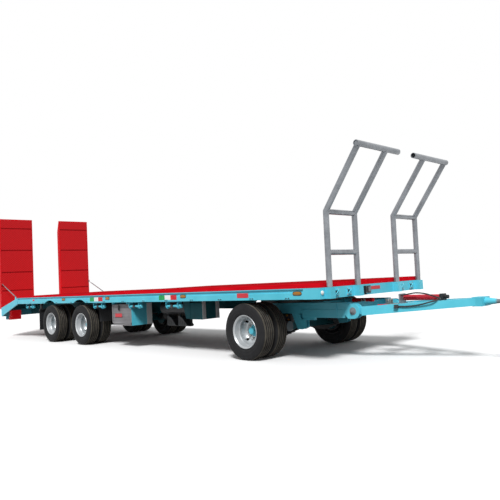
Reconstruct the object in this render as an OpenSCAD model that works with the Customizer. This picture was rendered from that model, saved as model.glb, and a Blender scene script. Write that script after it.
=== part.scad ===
// Three-axle platform trailer with a turntable dolly, A-frame drawbar and two loading ramps.
// Millimetres. +X points forward to the towing eye, +Y to the left side, +Z up.
// Lengths called "from the axle" are measured along X from the steered front axle.

/* [Bed] */
// Length of the bed from its front beam to the end of the sloping tail
bed_len = 10240; // [9800:10:10600]
// Width of the bed over the side rails
bed_w = 2500; // [2440:10:2550]
// Front axle to the front of the bed
bed_front = 1400; // [1390:5:1450]
// Height of the top of the side rails above the ground
rail_top = 980; // [970:1:1010]
// Height of the side rails
rail_h = 140; // [130:1:140]
// Height of the lip along the top of the rails
rail_band = 10; // [8:1:14]
// Length of the sloping tail
tail_len = 1030; // [950:10:1100]
// Height that the tail drops by
tail_drop = 234; // [200:2:250]
// Depth of the tail at its end
tail_depth = 215; // [190:1:230]
// Thickness of the front deck
deck_front_t = 60; // [50:1:70]
// Thickness of the rear deck
deck_rear_t = 40; // [30:1:50]
// Front axle to the step between the two decks
deck_step = 3460; // [3300:10:3600]

/* [Axles and wheels] */
// Front axle to middle axle
wheelbase = 4730; // [4700:10:4800]
// Middle axle to rear axle
tandem = 1350; // [1310:5:1400]
// Outer diameter of the tyres
tyre_d = 797; // [790:1:800]
// Width of a tyre
tyre_w = 235; // [225:1:240]
// Distance between the middles of twin tyres
twin_pitch = 265; // [255:1:275]
// Distance between the middles of the outer tyres
track = 2260; // [2240:2:2264]
// Radius of the rim under the tyre beads
rim_r = 222; // [218:1:226]
// Half height of the square axle beams
axle_half = 60; // [55:1:62]

/* [Dolly and drawbar] */
// Outer radius of the turntable ring
ring_r = 600; // [570:5:620]
// Distance between the middles of the dolly's side beams
dolly_gauge = 1000; // [980:2:1010]
// Front axle to the drawbar's hinge pins
hinge_x = 1370; // [1360:1:1400]
// Height of the drawbar's hinge pins
hinge_z = 640; // [630:1:650]
// Front axle to the middle of the towing eye
eye_x = 3300; // [3200:5:3400]
// Height of the towing eye
eye_z = 720; // [712:1:730]
// Bore of the towing eye
eye_bore = 50; // [40:1:57]
// Outer diameter of the towing eye
eye_d = 120; // [110:1:130]

/* [Ramps and ladders] */
// Length of a ramp from its hinge to its tip
ramp_len = 2340; // [2200:10:2400]
// Inner edge of a ramp from the middle of the trailer
ramp_in = 381; // [360:1:420]
// Width of a ramp
ramp_w = 857; // [800:1:857]
// Thickness of a ramp
ramp_t = 120; // [100:1:125]
// Diameter of the tubes of the front ladders
tube = 75; // [60:1:80]
// Outer post of a ladder from the middle of the trailer
post_out = 1100; // [1080:5:1150]
// Inner post of a ladder from the middle of the trailer
post_in = 485; // [470:5:500]
// Height of the ladders
ladder_top = 2718; // [2600:2:2800]

/* [Hidden] */
$fn = 48;

// Main levels and stations
rail_bot = rail_top - rail_h;
half_w = bed_w / 2;
x_tail = bed_front - bed_len;
x_kink = x_tail + tail_len;
x_mid = -wheelbase;
x_rear = x_mid - tandem;
tyre_r = tyre_d / 2;
axle_z = tyre_r;
slope = tail_drop / tail_len;
tail_top = rail_top - tail_drop;
tail_bot = tail_top - tail_depth;
function tail_z(x) = rail_top - slope * (x_kink - x);

// Ramp hinge, behind the end of the tail
ramp_gap = 10;
ramp_face = 35;
ramp_hx = x_tail - ramp_gap - ramp_face;
ramp_hz = tail_top - 56;
ramp_back = ramp_hx + ramp_face - ramp_t;

// The origin lies half way between the eye's tip and the back of the ramps
x_axle = -(eye_x + eye_d / 2 + ramp_back) / 2;

// Rail section
lip = 20;
web_t = 8;
flange_t = 10;
flange_w = 60;
tail_plate = 30;
tail_deck_t = 30;
tail_deck_sink = 4;
tail_deck_under = tail_deck_t + tail_deck_sink;
web_out = half_w - lip;
web_in = web_out - web_t;
arch_r = 510;
end_t = 80;
corner_len = 270;

// Main beams
beam_y = dolly_gauge / 2;
beam_w = 100;
beam_web = 12;
beam_ft = 14;
beam_bot = 600;
neck_x = -1600;
neck_run = rail_bot - beam_bot;
cross_w = 60;
cross_h = rail_h - 40;
cross_z = rail_bot + 20;
cross_first = 1000;
cross_pitch = 610;
cross_n = floor((cross_first - x_kink - cross_w) / cross_pitch) + 1;
deck_inset = 60;

// Turntable
ring_in = ring_r - 120;
ring_h = 40;
ring_gap = 0.5;
dolly_top = rail_bot - 2 * ring_h - 5;
dolly_w = 80;

// Springs
spring_half = 430;
spring_w = 60;
leaf_t = 12;
leaf_sag = 33;
dolly_sag = 84;
eye_r = 25;
seat_z = 473;
leaf_n = 5;
pack_top = seat_z + leaf_n * leaf_t;
pad_h = 8;
dolly_pack_top = axle_z - axle_half - pad_h;
function arc_r(sag) = (spring_half * spring_half + sag * sag) / (2 * sag);
function pack_eye_z(top, sag) = top + sag - leaf_t / 2;

// Wheels, with the twin's middle plane as zero
twin_y = (track - twin_pitch) / 2;
spindle_r = 34;
pin_gap = 0.5;
hub_r = 62;
drum_r = 180;
drum_in = -235;
plate_in = 745;
rim_half = 98;

// Drawbar
ear_r = 100;
ear_gap = 15;
arm_start = ear_r + ear_gap;
eye_shank = 470;
arm_end_x = eye_x - eye_shank;
arm_end_y = 60;
arm_w = 90;
arm_dx = arm_end_x - hinge_x - arm_start;
arm_len = sqrt(arm_dx * arm_dx + (beam_y - arm_end_y) * (beam_y - arm_end_y));
arm_turn = atan((beam_y - arm_end_y) / arm_dx);
arm_root_h = 115;
arm_tip_h = 90;
tie_x = 1780;
tie = 60;
tie_z = 640;
park_x = 2330;
park_z = 690;
park_t = 25;
holder_top = 832;
function arm_y(x) = beam_y - (x - hinge_x - arm_start) * tan(arm_turn);
hinge_pin_r = 20;
knuckle_r = 55;
knuckle_w = 50;
clevis_t = 15;
clevis_gap = 5;

// Hoses at the drawbar, and the clip on the right arm where the brake hose ends
hose_r = 9;
coil_r = 38;
coil_y = 45;
coil_z = 775;
hose_route = [
    [1790, -25, 812], [1850, -25, 818], [1920, -30, 828], [2000, -42, 838], [2090, -58, 836],
    [2180, -74, 822], [2260, -90, 802], [2330, -110, 782], [2390, -150, 768], [2418, -200, 760],
    [2412, -250, 758], [2372, -290, 744], [2310, -312, 728], [2230, -330, 708], [2140, -352, 694],
    [2050, -380, 688], [1960, -406, 690]];
hose_end = hose_route[len(hose_route) - 1];
clip_s = (hose_end.x - hinge_x - arm_start) * cos(arm_turn) + (beam_y + hose_end.y) * sin(arm_turn);
clip_z = hose_end.z;

// Stays that hold the ramps up
stay_in = 42;
stay_y = half_w - stay_in;
stay_r = 8;
stay_x = x_kink - 160;
stay_z = rail_top + 15;
stay_top_x = ramp_hx + ramp_face + 25;
stay_top_z = 1340;
stay_dx = stay_top_x - stay_x;
stay_dz = stay_top_z - stay_z;
stay_len = sqrt(stay_dx * stay_dx + stay_dz * stay_dz);
stay_turn = atan2(stay_dz, -stay_dx);

// Toolbox under the right rail
function between(share) = -share * wheelbase;
box_len = 650;
box_x1 = between(0.6237);
box_x0 = box_x1 - box_len;
box_in = 140;
box_clear = 180;
box_y0 = box_in - half_w;
box_y1 = -(beam_y + beam_w / 2 + box_clear);
box_z0 = 415;
box_z1 = 805;
box_wall = 15;
door_gap = 5;
door_t = 35;
door_hy = box_y0 - door_gap - door_t - 10;
door_hz = box_z0 + 10;

// Fittings along the rails, from the axle
winch_x = [between(0.353), between(0.5886), between(0.8562), x_rear + 0.65 * (x_kink - x_rear)];
marker_x = [bed_front - 370, between(0.2812), between(0.7674), (x_mid + x_rear) / 2];
winch_w = 320;
winch_h = 120;

teal = "#35A9BC";
red = "#BF2530";
galvanised = "#A9ADAE";
black = "#1C1D1F";
silver = "#C9CBCB";

// Helpers

// Places things whose X is given from the front axle
module from_axle(x = 0) {
    translate([x_axle + x, 0, 0]) children();
}

// Right side is -1, left side is 1; children are drawn on the left
module on_side(side) {
    mirror([0, side < 0 ? 1 : 0, 0]) children();
}

module both_sides() {
    on_side(1) children();
    on_side(-1) children();
}

// Box from one corner to the opposite one
module box(a, b) {
    translate(a) cube(b - a);
}

// Plate whose outline lies in X and Z, from y0 over a thickness
module plate_xz(y0, t) {
    translate([0, y0 + t, 0]) rotate([90, 0, 0]) linear_extrude(t) children();
}

// Round bar along Y
module bar_y(x, z, r, y0, y1) {
    translate([x, y0, z]) rotate([-90, 0, 0]) cylinder(r = r, h = y1 - y0);
}

// Round bar along X
module bar_x(y, z, r, x0, x1) {
    translate([x0, y, z]) rotate([0, 90, 0]) cylinder(r = r, h = x1 - x0);
}

// Chassis

module main_beams() {
    x_front = bed_front - end_t;
    y0 = beam_y - beam_web / 2;
    f0 = beam_y - beam_w / 2;
    f1 = beam_y + beam_w / 2;
    x_end = x_tail + end_t;
    color(teal) from_axle() both_sides() {
        plate_xz(y0, beam_web) polygon([
            [x_front, rail_bot], [x_front, rail_top], [x_kink, rail_top], [x_kink, beam_bot],
            [neck_x, beam_bot], [neck_x + neck_run, rail_bot]]);
        box([x_kink, f0, rail_top - beam_ft], [x_front, f1, rail_top]);
        box([x_kink, f0, beam_bot], [neck_x, f1, beam_bot + beam_ft]);
        box([neck_x + neck_run, f0, rail_bot], [x_front, f1, rail_bot + beam_ft]);
        plate_xz(f0, beam_w) polygon([
            [neck_x, beam_bot], [neck_x + neck_run, rail_bot], [neck_x + neck_run, rail_bot + beam_ft],
            [neck_x - beam_ft / 2, beam_bot + beam_ft]]);
        plate_xz(y0, beam_web) polygon([
            [x_kink, tail_z(x_kink) - tail_deck_under], [x_end, tail_z(x_end) - tail_deck_under],
            [x_end, tail_bot], [x_kink, beam_bot]]);
    }
}

// A cross bar in three lengths, cut by the webs of the main beams
module cross_bar(x, z0, z1, y_end) {
    y0 = beam_y - beam_web / 2;
    y1 = beam_y + beam_web / 2;
    box([x - cross_w / 2, -y0, z0], [x + cross_w / 2, y0, z1]);
    both_sides() box([x - cross_w / 2, y1, z0], [x + cross_w / 2, y_end, z1]);
}

module cross_members() {
    tail_bar_h = 90;
    color(teal) from_axle() {
        for (i = [0 : cross_n - 1])
            cross_bar(cross_first - i * cross_pitch, cross_z, cross_z + cross_h, web_in);
        for (share = [0.35, 0.7]) {
            x = x_kink - share * (tail_len - end_t);
            top = tail_z(x - cross_w / 2) - tail_deck_under;
            cross_bar(x, top - tail_bar_h, top, half_w - tail_plate);
        }
    }
}

module side_rail() {
    y_in = half_w - lip - flange_w;
    difference() {
        union() {
            translate([x_kink, 0, 0]) rotate([90, 0, 90]) linear_extrude(bed_front - end_t - x_kink)
                polygon([
                    [y_in, rail_top], [half_w, rail_top], [half_w, rail_top - rail_band],
                    [web_out, rail_top - rail_band], [web_out, rail_bot], [y_in, rail_bot],
                    [y_in, rail_bot + flange_t], [web_in, rail_bot + flange_t],
                    [web_in, rail_top - flange_t], [y_in, rail_top - flange_t]]);
            box([bed_front - corner_len, web_in, rail_bot], [bed_front, half_w, rail_top]);
            plate_xz(half_w - tail_plate, tail_plate) polygon([
                [x_kink, rail_top], [x_tail, tail_top], [x_tail, tail_bot], [x_kink, rail_bot]]);
        }
        for (x = [x_mid, x_rear]) bar_y(x, axle_z, arch_r, y_in - 10, half_w + 10);
    }
    // Lug and pin of the stay
    plate_xz(stay_y + 18, 10) polygon([
        [stay_x - 30, tail_z(stay_x - 30) - 4], [stay_x + 30, tail_z(stay_x + 30) - 4],
        [stay_x + 18, stay_z + 14], [stay_x - 18, stay_z + 14]]);
    bar_y(stay_x, stay_z, stay_r, stay_y - 12, stay_y + 22);
}

module side_rail_right() {
    color(teal) from_axle() on_side(-1) side_rail();
}

module side_rail_left() {
    color(teal) from_axle() on_side(1) side_rail();
}

module front_beam() {
    pad_t = 12;
    pad_h = 90;
    socket_t = 12;
    color(teal) from_axle() {
        box([bed_front - end_t, -web_in, rail_bot], [bed_front, web_in, rail_top]);
        both_sides() for (y = [post_in, post_out])
            box([bed_front, y - tube / 2 - socket_t, rail_bot],
                [bed_front + tube + socket_t, y + tube / 2 + socket_t, rail_top]);
        both_sides() for (shift = [-0.25, 0.25]) {
            y = (post_in + post_out) / 2 + shift * (post_out - post_in - tube);
            box([bed_front, y - 45, rail_bot + 25], [bed_front + pad_t, y + 45, rail_bot + 25 + pad_h]);
        }
    }
}

// Lugs beside a ramp's hinge tube, with the pin through them
ramp_side = 50;
lug_t = 30;
lug_gap = 10;
tube_gap = 5;
lug_in = ramp_in + ramp_side + lug_gap;
lug_out = ramp_in + ramp_w - ramp_side - lug_gap - lug_t;
ramp_pin_r = 15;

module tail_beam() {
    lug_r = 30;
    color(teal) from_axle() {
        box([x_tail, tail_plate - half_w, tail_bot],
            [x_tail + end_t, half_w - tail_plate, tail_top - tail_deck_under]);
        both_sides() {
            for (y = [lug_in, lug_out]) {
                bar_y(ramp_hx, ramp_hz, lug_r, y, y + lug_t);
                box([ramp_hx, y, ramp_hz - lug_r], [x_tail, y + lug_t, ramp_hz + 20]);
            }
            bar_y(ramp_hx, ramp_hz, ramp_pin_r, lug_in, lug_out + lug_t);
        }
    }
}

module deck_front() {
    y = half_w - deck_inset;
    color(red) from_axle()
        box([-deck_step, -y, rail_top], [bed_front - end_t / 2, y, rail_top + deck_front_t]);
}

module deck_rear() {
    y = half_w - deck_inset;
    color(red) from_axle()
        box([x_kink, -y, rail_top], [-deck_step, y, rail_top + deck_rear_t]);
}

module deck_tail() {
    color(red) from_axle() plate_xz(tail_plate - half_w, bed_w - 2 * tail_plate) polygon([
        [x_kink, rail_top - tail_deck_sink], [x_tail, tail_top - tail_deck_sink],
        [x_tail, tail_top - tail_deck_under], [x_kink, rail_top - tail_deck_under]]);
}

// Ladder frames

ladder_bend = 1970;
ladder_lean = 20;
ladder_reach = 600;

// Round tube between two points given as X and Z
module tube_run(a, b, r) {
    d = b - a;
    translate([a.x, 0, a.y]) rotate([0, atan2(d.x, d.y), 0]) cylinder(r = r, h = norm(d));
}

module ladder() {
    r = tube / 2;
    rung_r = r - 3;
    wall = 6;
    bore_len = 120;
    rung_z = 1415;
    foot_lift = 0.9;
    foot = [bed_front + r, rail_top + foot_lift];
    bend = [bed_front + ladder_lean + r, ladder_bend - r];
    head = [bed_front + ladder_reach, ladder_top - r];
    lean = ladder_lean * (rung_z - rail_top) / (ladder_bend - r - rail_top);
    top_in = 198;
    top_out = post_out + r + 12;
    for (y = [post_in, post_out]) translate([0, y, 0]) {
        tube_run(foot, bend, r);
        translate([bend.x, 0, bend.y]) sphere(r = r + 0.3);
        tube_run(bend, head, r);
    }
    bar_y(foot.x + lean, rung_z, rung_r, post_in, post_out);
    bar_y(bend.x, bend.y - 6, rung_r, post_in, post_out);
    difference() {
        bar_y(head.x, head.y, r + 0.5, top_in, top_out);
        bar_y(head.x, head.y, r - wall, top_in - 1, top_in + bore_len);
        bar_y(head.x, head.y, r - wall, post_out + r + 2, top_out + 1);
    }
}

module ladder_right() {
    color(galvanised) from_axle() on_side(-1) ladder();
}

module ladder_left() {
    color(galvanised) from_axle() on_side(1) ladder();
}

// Fittings under the rails

module strap_winch() {
    plate = 8;
    head = 52;
    y0 = web_out - 90;
    z0 = rail_bot - winch_h;
    box([-winch_w / 2, y0, rail_bot - plate], [winch_w / 2, web_out, rail_bot]);
    for (s = [-1, 1]) {
        x = s * (winch_w / 2 - plate / 2);
        box([x - plate / 2, y0, z0], [x + plate / 2, web_out, rail_bot]);
    }
    bar_x((y0 + web_out) / 2, z0 + 45, 30, -winch_w / 2, winch_w / 2 + head);
}

module strap_winches() {
    color(teal) for (x = winch_x) from_axle(x) both_sides() strap_winch();
}

door_lug = 12;
door_pin_r = 6;

module toolbox_body() {
    color(silver) from_axle() {
        difference() {
            box([box_x0, box_y0, box_z0], [box_x1, box_y1, box_z1]);
            box([box_x0 + box_wall, box_y0 - 1, box_z0 + box_wall],
                [box_x1 - box_wall, box_y1 - box_wall, box_z1 - box_wall]);
        }
        for (x = [box_x0 + 20, box_x1 - 20 - door_lug]) {
            bar_x(door_hy, door_hz, 10, x, x + door_lug);
            box([x, door_hy, door_hz - 9], [x + door_lug, box_y0 + 20, door_hz + 1]);
        }
        bar_x(door_hy, door_hz, door_pin_r, box_x0 + 20, box_x1 - 20);
    }
}

module toolbox_lid() {
    y1 = box_y0 - door_gap;
    side_gap = 3;
    top_gap = 8;
    k0 = box_x0 + 20 + door_lug + 5;
    k1 = box_x1 - 20 - door_lug - 5;
    color(silver) from_axle() difference() {
        union() {
            box([box_x0 + side_gap, y1 - door_t, box_z0 + 25], [box_x1 - side_gap, y1, box_z1 - top_gap]);
            bar_x(door_hy, door_hz, 11, k0, k1);
            box([k0, door_hy, door_hz], [k1, y1 - door_t + 5, door_hz + 30]);
        }
        bar_x(door_hy, door_hz, door_pin_r + 0.4, k0 - 1, k1 + 1);
    }
}

module toolbox_cradle() {
    bar = 12;
    bar_w = 40;
    near = round((cross_first - (box_x0 + box_x1) / 2) / cross_pitch);
    hang_x = cross_first - near * cross_pitch;
    post_y = web_out - flange_w;
    color(teal) from_axle() {
        for (x = [box_x0 + 80, box_x1 - 80]) {
            box([x - bar_w / 2, -post_y - bar_w, box_z1], [x + bar_w / 2, box_y1, box_z1 + bar]);
            box([x - bar_w / 2, -post_y - bar_w, box_z1], [x + bar_w / 2, -post_y, rail_bot]);
        }
        box([box_x0 + 80, box_y1 - bar_w, box_z1], [box_x1 - 80, box_y1, box_z1 + bar]);
        box([hang_x - bar_w / 2, box_y1 - bar_w, box_z1], [hang_x + bar_w / 2, box_y1, cross_z]);
    }
}

module side_locker() {
    long = 330;
    x1 = between(0.26);
    x0 = x1 - long;
    y0 = 300 - half_w;
    y1 = -(beam_y + beam_w / 2 + 40);
    z0 = 530;
    z1 = 800;
    strap = 12;
    hang_w = 60;
    middle = (x0 + x1) / 2;
    hang_x = cross_first - round((cross_first - middle) / cross_pitch) * cross_pitch;
    color(teal) from_axle() {
        box([x0, y0, z0], [x1, y1, z1]);
        for (y = [y0 + 150, y1 - 90]) {
            box([hang_x - hang_w / 2, y, z1], [hang_x + hang_w / 2, y + hang_w, cross_z]);
            box([min(hang_x, middle) - hang_w / 2, y, z1],
                [max(hang_x, middle) + hang_w / 2, y + hang_w, z1 + strap]);
        }
    }
}

module junction_box() {
    y0 = -337;
    y1 = -218;
    color(black) from_axle() box([bed_front, y0, rail_bot + 27], [bed_front + 50, y1, rail_bot + 120]);
}

module tail_lamps() {
    y0 = half_w - 445;
    y1 = half_w - 175;
    z0 = 430;
    deep = 90;
    color(red) from_axle() both_sides() box([x_tail, y0, z0], [x_tail + deep, y1, tail_bot]);
}

module marker_lamps() {
    drop = 62;
    z = rail_top - drop;
    r = 18;
    long = 60;
    color("orange") {
        both_sides() for (x = marker_x) from_axle(x) {
            box([-long / 2, web_out, z - r], [long / 2, half_w, z + r]);
            for (s = [-1, 1]) bar_y(s * long / 2, z, r, web_out, half_w);
        }
        from_axle() both_sides() bar_x(half_w - 40, z, 20, bed_front, bed_front + 14);
    }
}

module mudflaps() {
    flap_back = 540;
    x = x_rear - flap_back;
    flap_t = 10;
    y0 = twin_y - twin_pitch / 2 - tyre_w / 2;
    z0 = 250;
    z1 = 690;
    post_y = web_out - flange_w;
    color(black) from_axle(x) both_sides() {
        box([-flap_t, y0, z0], [0, half_w - 10, z1]);
        box([-flap_t, y0, z1], [30, half_w - 10, z1 + 30]);
        box([-flap_t, post_y, z1 + 30], [30, post_y + 40, rail_bot]);
    }
}

module air_tanks() {
    long = 760;
    x0 = between(0.5412);
    x1 = x0 + long;
    r = 115;
    y = beam_y + beam_w / 2 + 40 + r;
    z = 712;
    y_web = beam_y + beam_web / 2;
    color(black) from_axle() both_sides() {
        bar_x(y, z, r, x0, x1);
        for (x = [x0 + 130, x1 - 190]) box([x, y_web, z - 50], [x + 60, y - 40, z + 50]);
    }
}

// Running gear

// Points of an arc under its centre, over an angle each way
function sag_arc(r, turn) = [for (i = [-4 : 4]) [r * sin(turn * i / 4), -r * cos(turn * i / 4)]];
function reversed(p) = [for (i = [len(p) - 1 : -1 : 0]) p[i]];

// Curved leaf about the pack's centre of curvature, its ends turned up
module leaf(half, r, t) {
    turn = asin(half / r);
    plate_xz(-spring_w / 2, spring_w) polygon(concat(sag_arc(r, turn), reversed(sag_arc(r + t, turn))));
}

// Leaf pack with its top at a height and eyes at both ends
module spring_pack(top, sag) {
    shorter = 0.17;
    bite = 2;
    r = arc_r(sag);
    translate([0, 0, top + r]) for (i = [0 : leaf_n - 1]) {
        lap = i > 0 ? bite : 0;
        leaf(spring_half * (1 - shorter * i), r + i * leaf_t - lap, leaf_t + lap);
    }
    for (s = [-1, 1])
        bar_y(s * spring_half, pack_eye_z(top, sag), eye_r, -spring_w / 2, spring_w / 2);
}

// Two plates beside each spring eye, hung from the beam above
hanger_t = 10;
hanger_half = 45;

module hanger_pair() {
    eye_z = pack_eye_z(pack_top, leaf_sag);
    for (s = [-1, 1], side = [-1, 1])
        translate([s * spring_half, 0, 0]) plate_xz(side * (spring_w + hanger_t) / 2 - hanger_t / 2, hanger_t)
            polygon([
                [-hanger_half, eye_z - hanger_half], [hanger_half, eye_z - hanger_half],
                [hanger_half, beam_bot], [-hanger_half, beam_bot]]);
}

// Deep hangers of the underslung dolly springs: a slanted leg and an upright one, joined at the eye
module deep_hangers() {
    eye_z = pack_eye_z(dolly_pack_top, dolly_sag);
    notch = beam_bot - 80;
    for (s = [-1, 1], side = [-1, 1])
        mirror([s < 0 ? 1 : 0, 0, 0]) translate([spring_half, 0, 0])
            plate_xz(side * (spring_w + hanger_t) / 2 - hanger_t / 2, hanger_t) polygon([
                [-128, beam_bot], [-30, eye_z - 30], [60, eye_z - 30], [125, eye_z - 5], [125, beam_bot],
                [85, beam_bot], [85, notch], [50, notch], [15, beam_bot]]);
}

module spring_hangers() {
    color(teal) for (x = [x_mid, x_rear]) from_axle(x) both_sides()
        translate([0, beam_y, 0]) hanger_pair();
}

module bogie_springs() {
    color(black) for (x = [x_mid, x_rear]) from_axle(x) both_sides()
        translate([0, beam_y, 0]) spring_pack(pack_top, leaf_sag);
}

// Square axle with stub ends, brake plates and spring seats
module axle() {
    seat_half = 55;
    stub_end = twin_y + 60;
    plate_t = 10;
    plate_r = 150;
    box([-axle_half, -plate_in, axle_z - axle_half], [axle_half, plate_in, axle_z + axle_half]);
    both_sides() {
        bar_y(0, axle_z, plate_r, plate_in, plate_in + plate_t);
        bar_y(0, axle_z, spindle_r, plate_in, stub_end);
        box([-seat_half, beam_y - spring_w / 2, axle_z + axle_half],
            [seat_half, beam_y + spring_w / 2, seat_z]);
    }
}

module axle_front() {
    color(black) from_axle() axle();
}

module axle_mid() {
    color(black) from_axle(x_mid) axle();
}

module axle_rear() {
    color(black) from_axle(x_rear) axle();
}

// Pair of brake chambers on arms from an axle
module chambers() {
    y = (beam_y + spring_w / 2 + plate_in) / 2;
    r = 72;
    long = 150;
    x0 = 190;
    both_sides() {
        bar_x(y, axle_z + 30, r, x0, x0 + long);
        box([axle_half, y - 25, axle_z], [x0, y + 25, axle_z + 40]);
    }
}

module brake_chambers_front() {
    color(silver) from_axle() chambers();
}

module brake_chambers_rear() {
    color(silver) for (x = [x_mid, x_rear]) from_axle(x) chambers();
}

// Turntable and dolly

module ring(z, h) {
    translate([0, 0, z]) difference() {
        cylinder(r = ring_r, h = h, $fn = 96);
        translate([0, 0, -1]) cylinder(r = ring_in, h = h + 2, $fn = 96);
    }
}

module turntable_upper() {
    color(black) from_axle() ring(rail_bot - ring_h, ring_h);
}

module turntable_lower() {
    color(black) from_axle() ring(dolly_top, rail_bot - ring_h - ring_gap - dolly_top);
}

module dolly_frame() {
    back = -620;
    beam_end = hinge_x - 80;
    y0 = beam_y - dolly_w / 2;
    y1 = beam_y + dolly_w / 2;
    slot = knuckle_w / 2 + clevis_gap;
    ear_lap = 60;
    color(teal) from_axle() {
        both_sides() {
            box([back, y0, beam_bot], [beam_end, y1, dolly_top]);
            for (y = [beam_y - slot - clevis_t, beam_y + slot]) {
                plate_xz(y, clevis_t) polygon([
                    [beam_end - ear_lap, beam_bot], [beam_end, hinge_z - ear_r], [hinge_x, hinge_z - ear_r],
                    [hinge_x, hinge_z + ear_r], [beam_end - ear_lap, hinge_z + ear_r]]);
                bar_y(hinge_x, hinge_z, ear_r, y, y + clevis_t);
            }
            bar_y(hinge_x, hinge_z, hinge_pin_r, beam_y - slot - clevis_t, beam_y + slot + clevis_t);
            translate([0, beam_y, 0]) deep_hangers();
        }
        for (x = [back, -spring_half, spring_half, beam_end - 140])
            box([x, -y0, beam_bot + 20], [x + dolly_w, y0, dolly_top - 15]);
    }
}

module dolly_springs() {
    seat_half = 55;
    color(black) from_axle() both_sides() translate([0, beam_y, 0]) {
        spring_pack(dolly_pack_top, dolly_sag);
        box([-seat_half, -spring_w / 2, dolly_pack_top - leaf_t / 2],
            [seat_half, spring_w / 2, dolly_pack_top + pad_h]);
    }
}

// Drawbar

// Frame of the left arm: X runs along the arm from its root
module on_arm() {
    translate([hinge_x + arm_start, beam_y, 0]) rotate([0, 0, -arm_turn]) children();
}

module drawbar_frame() {
    root_z = hinge_z - arm_root_h / 2;
    tip_z = eye_z - arm_tip_h / 2;
    neck = 40;
    color(teal) from_axle() {
        both_sides() {
            difference() {
                union() {
                    bar_y(hinge_x, hinge_z, knuckle_r, beam_y - knuckle_w / 2, beam_y + knuckle_w / 2);
                    box([hinge_x, beam_y - knuckle_w / 2, hinge_z - neck],
                        [hinge_x + arm_start + 40, beam_y + knuckle_w / 2, hinge_z + neck]);
                }
                bar_y(hinge_x, hinge_z, hinge_pin_r + pin_gap, beam_y - knuckle_w, beam_y + knuckle_w);
            }
            on_arm() plate_xz(-arm_w / 2, arm_w) polygon([
                [0, root_z], [0, root_z + arm_root_h], [arm_len, tip_z + arm_tip_h], [arm_len, tip_z]]);
        }
        box([arm_end_x - 60, -115, eye_z - 55], [arm_end_x + 60, 115, eye_z + 55]);
        box([tie_x - tie / 2, -arm_y(tie_x), tie_z], [tie_x + tie / 2, arm_y(tie_x), tie_z + tie]);
        box([park_x - 45, -arm_y(park_x), park_z], [park_x + 45, arm_y(park_x), park_z + park_t]);
    }
}

module tow_eye() {
    shank_r = 26;
    cone_r = 48;
    cone_len = 150;
    x0 = arm_end_x + 60;
    color(black) from_axle() difference() {
        union() {
            translate([x0, 0, eye_z]) rotate([0, 90, 0]) cylinder(r1 = cone_r, r2 = shank_r, h = cone_len);
            bar_x(0, eye_z, shank_r, x0 + cone_len - 1, eye_x - eye_d / 4);
            translate([eye_x, 0, eye_z - 27]) cylinder(r = eye_d / 2, h = 54);
        }
        translate([eye_x, 0, eye_z - 60]) cylinder(r = eye_bore / 2, h = 120);
    }
}

module support_strut() {
    z = 670;
    x0 = hinge_x + 40;
    color(red) from_axle() {
        bar_x(0, z, 22, x0, x0 + 120);
        bar_x(0, z, 36, x0 + 120, tie_x - tie / 2);
    }
}

module hose_holder() {
    t = 20;
    z0 = tie_z + tie;
    color(silver) from_axle() {
        box([tie_x - t / 2, -60, z0], [tie_x + t / 2, 90, holder_top]);
        box([tie_x - tie / 2, -60, z0], [tie_x + tie / 2, 90, z0 + 10]);
    }
}

module air_coil() {
    color(red) from_axle() bar_x(coil_y, coil_z, coil_r, tie_x + 10, park_x - 20);
}

module hose_coupling() {
    color(red) from_axle() {
        box([park_x - 20, coil_y - 45, park_z + park_t], [park_x + 30, coil_y + 45, coil_z + 45]);
        bar_x(coil_y, coil_z + 5, 24, park_x + 30, park_x + 80);
    }
    color(black) from_axle() on_side(-1) on_arm()
        box([clip_s - 50, arm_w / 2, clip_z - 22], [clip_s, arm_w / 2 + 40, clip_z + 22]);
}

// Round tube through a list of points, with flat ends
sides = 10;
function unit(v) = v / norm(v);
function along(p, i) =
    unit(p[min(i + 1, len(p) - 1)] - p[max(i - 1, 0)]);
function ring_at(c, t, r) =
    let (a = unit(cross([0, 0, 1], t)), b = cross(t, a))
    [for (k = [0 : sides - 1]) c + r * (cos(360 * k / sides) * a + sin(360 * k / sides) * b)];

module swept_tube(p, r) {
    n = len(p);
    pts = [for (i = [0 : n - 1]) each ring_at(p[i], along(p, i), r)];
    walls = [for (i = [0 : n - 2], k = [0 : sides - 1]) let (m = (k + 1) % sides)
        [i * sides + k, i * sides + m, (i + 1) * sides + m, (i + 1) * sides + k]];
    start = [for (k = [0 : sides - 1]) sides - 1 - k];
    end = [for (k = [0 : sides - 1]) (n - 1) * sides + k];
    polyhedron(pts, concat([start, end], walls));
}

module brake_hose() {
    color(black) from_axle() swept_tube(hose_route, hose_r);
}

// Ramps, upright, with their hinge as zero

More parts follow.
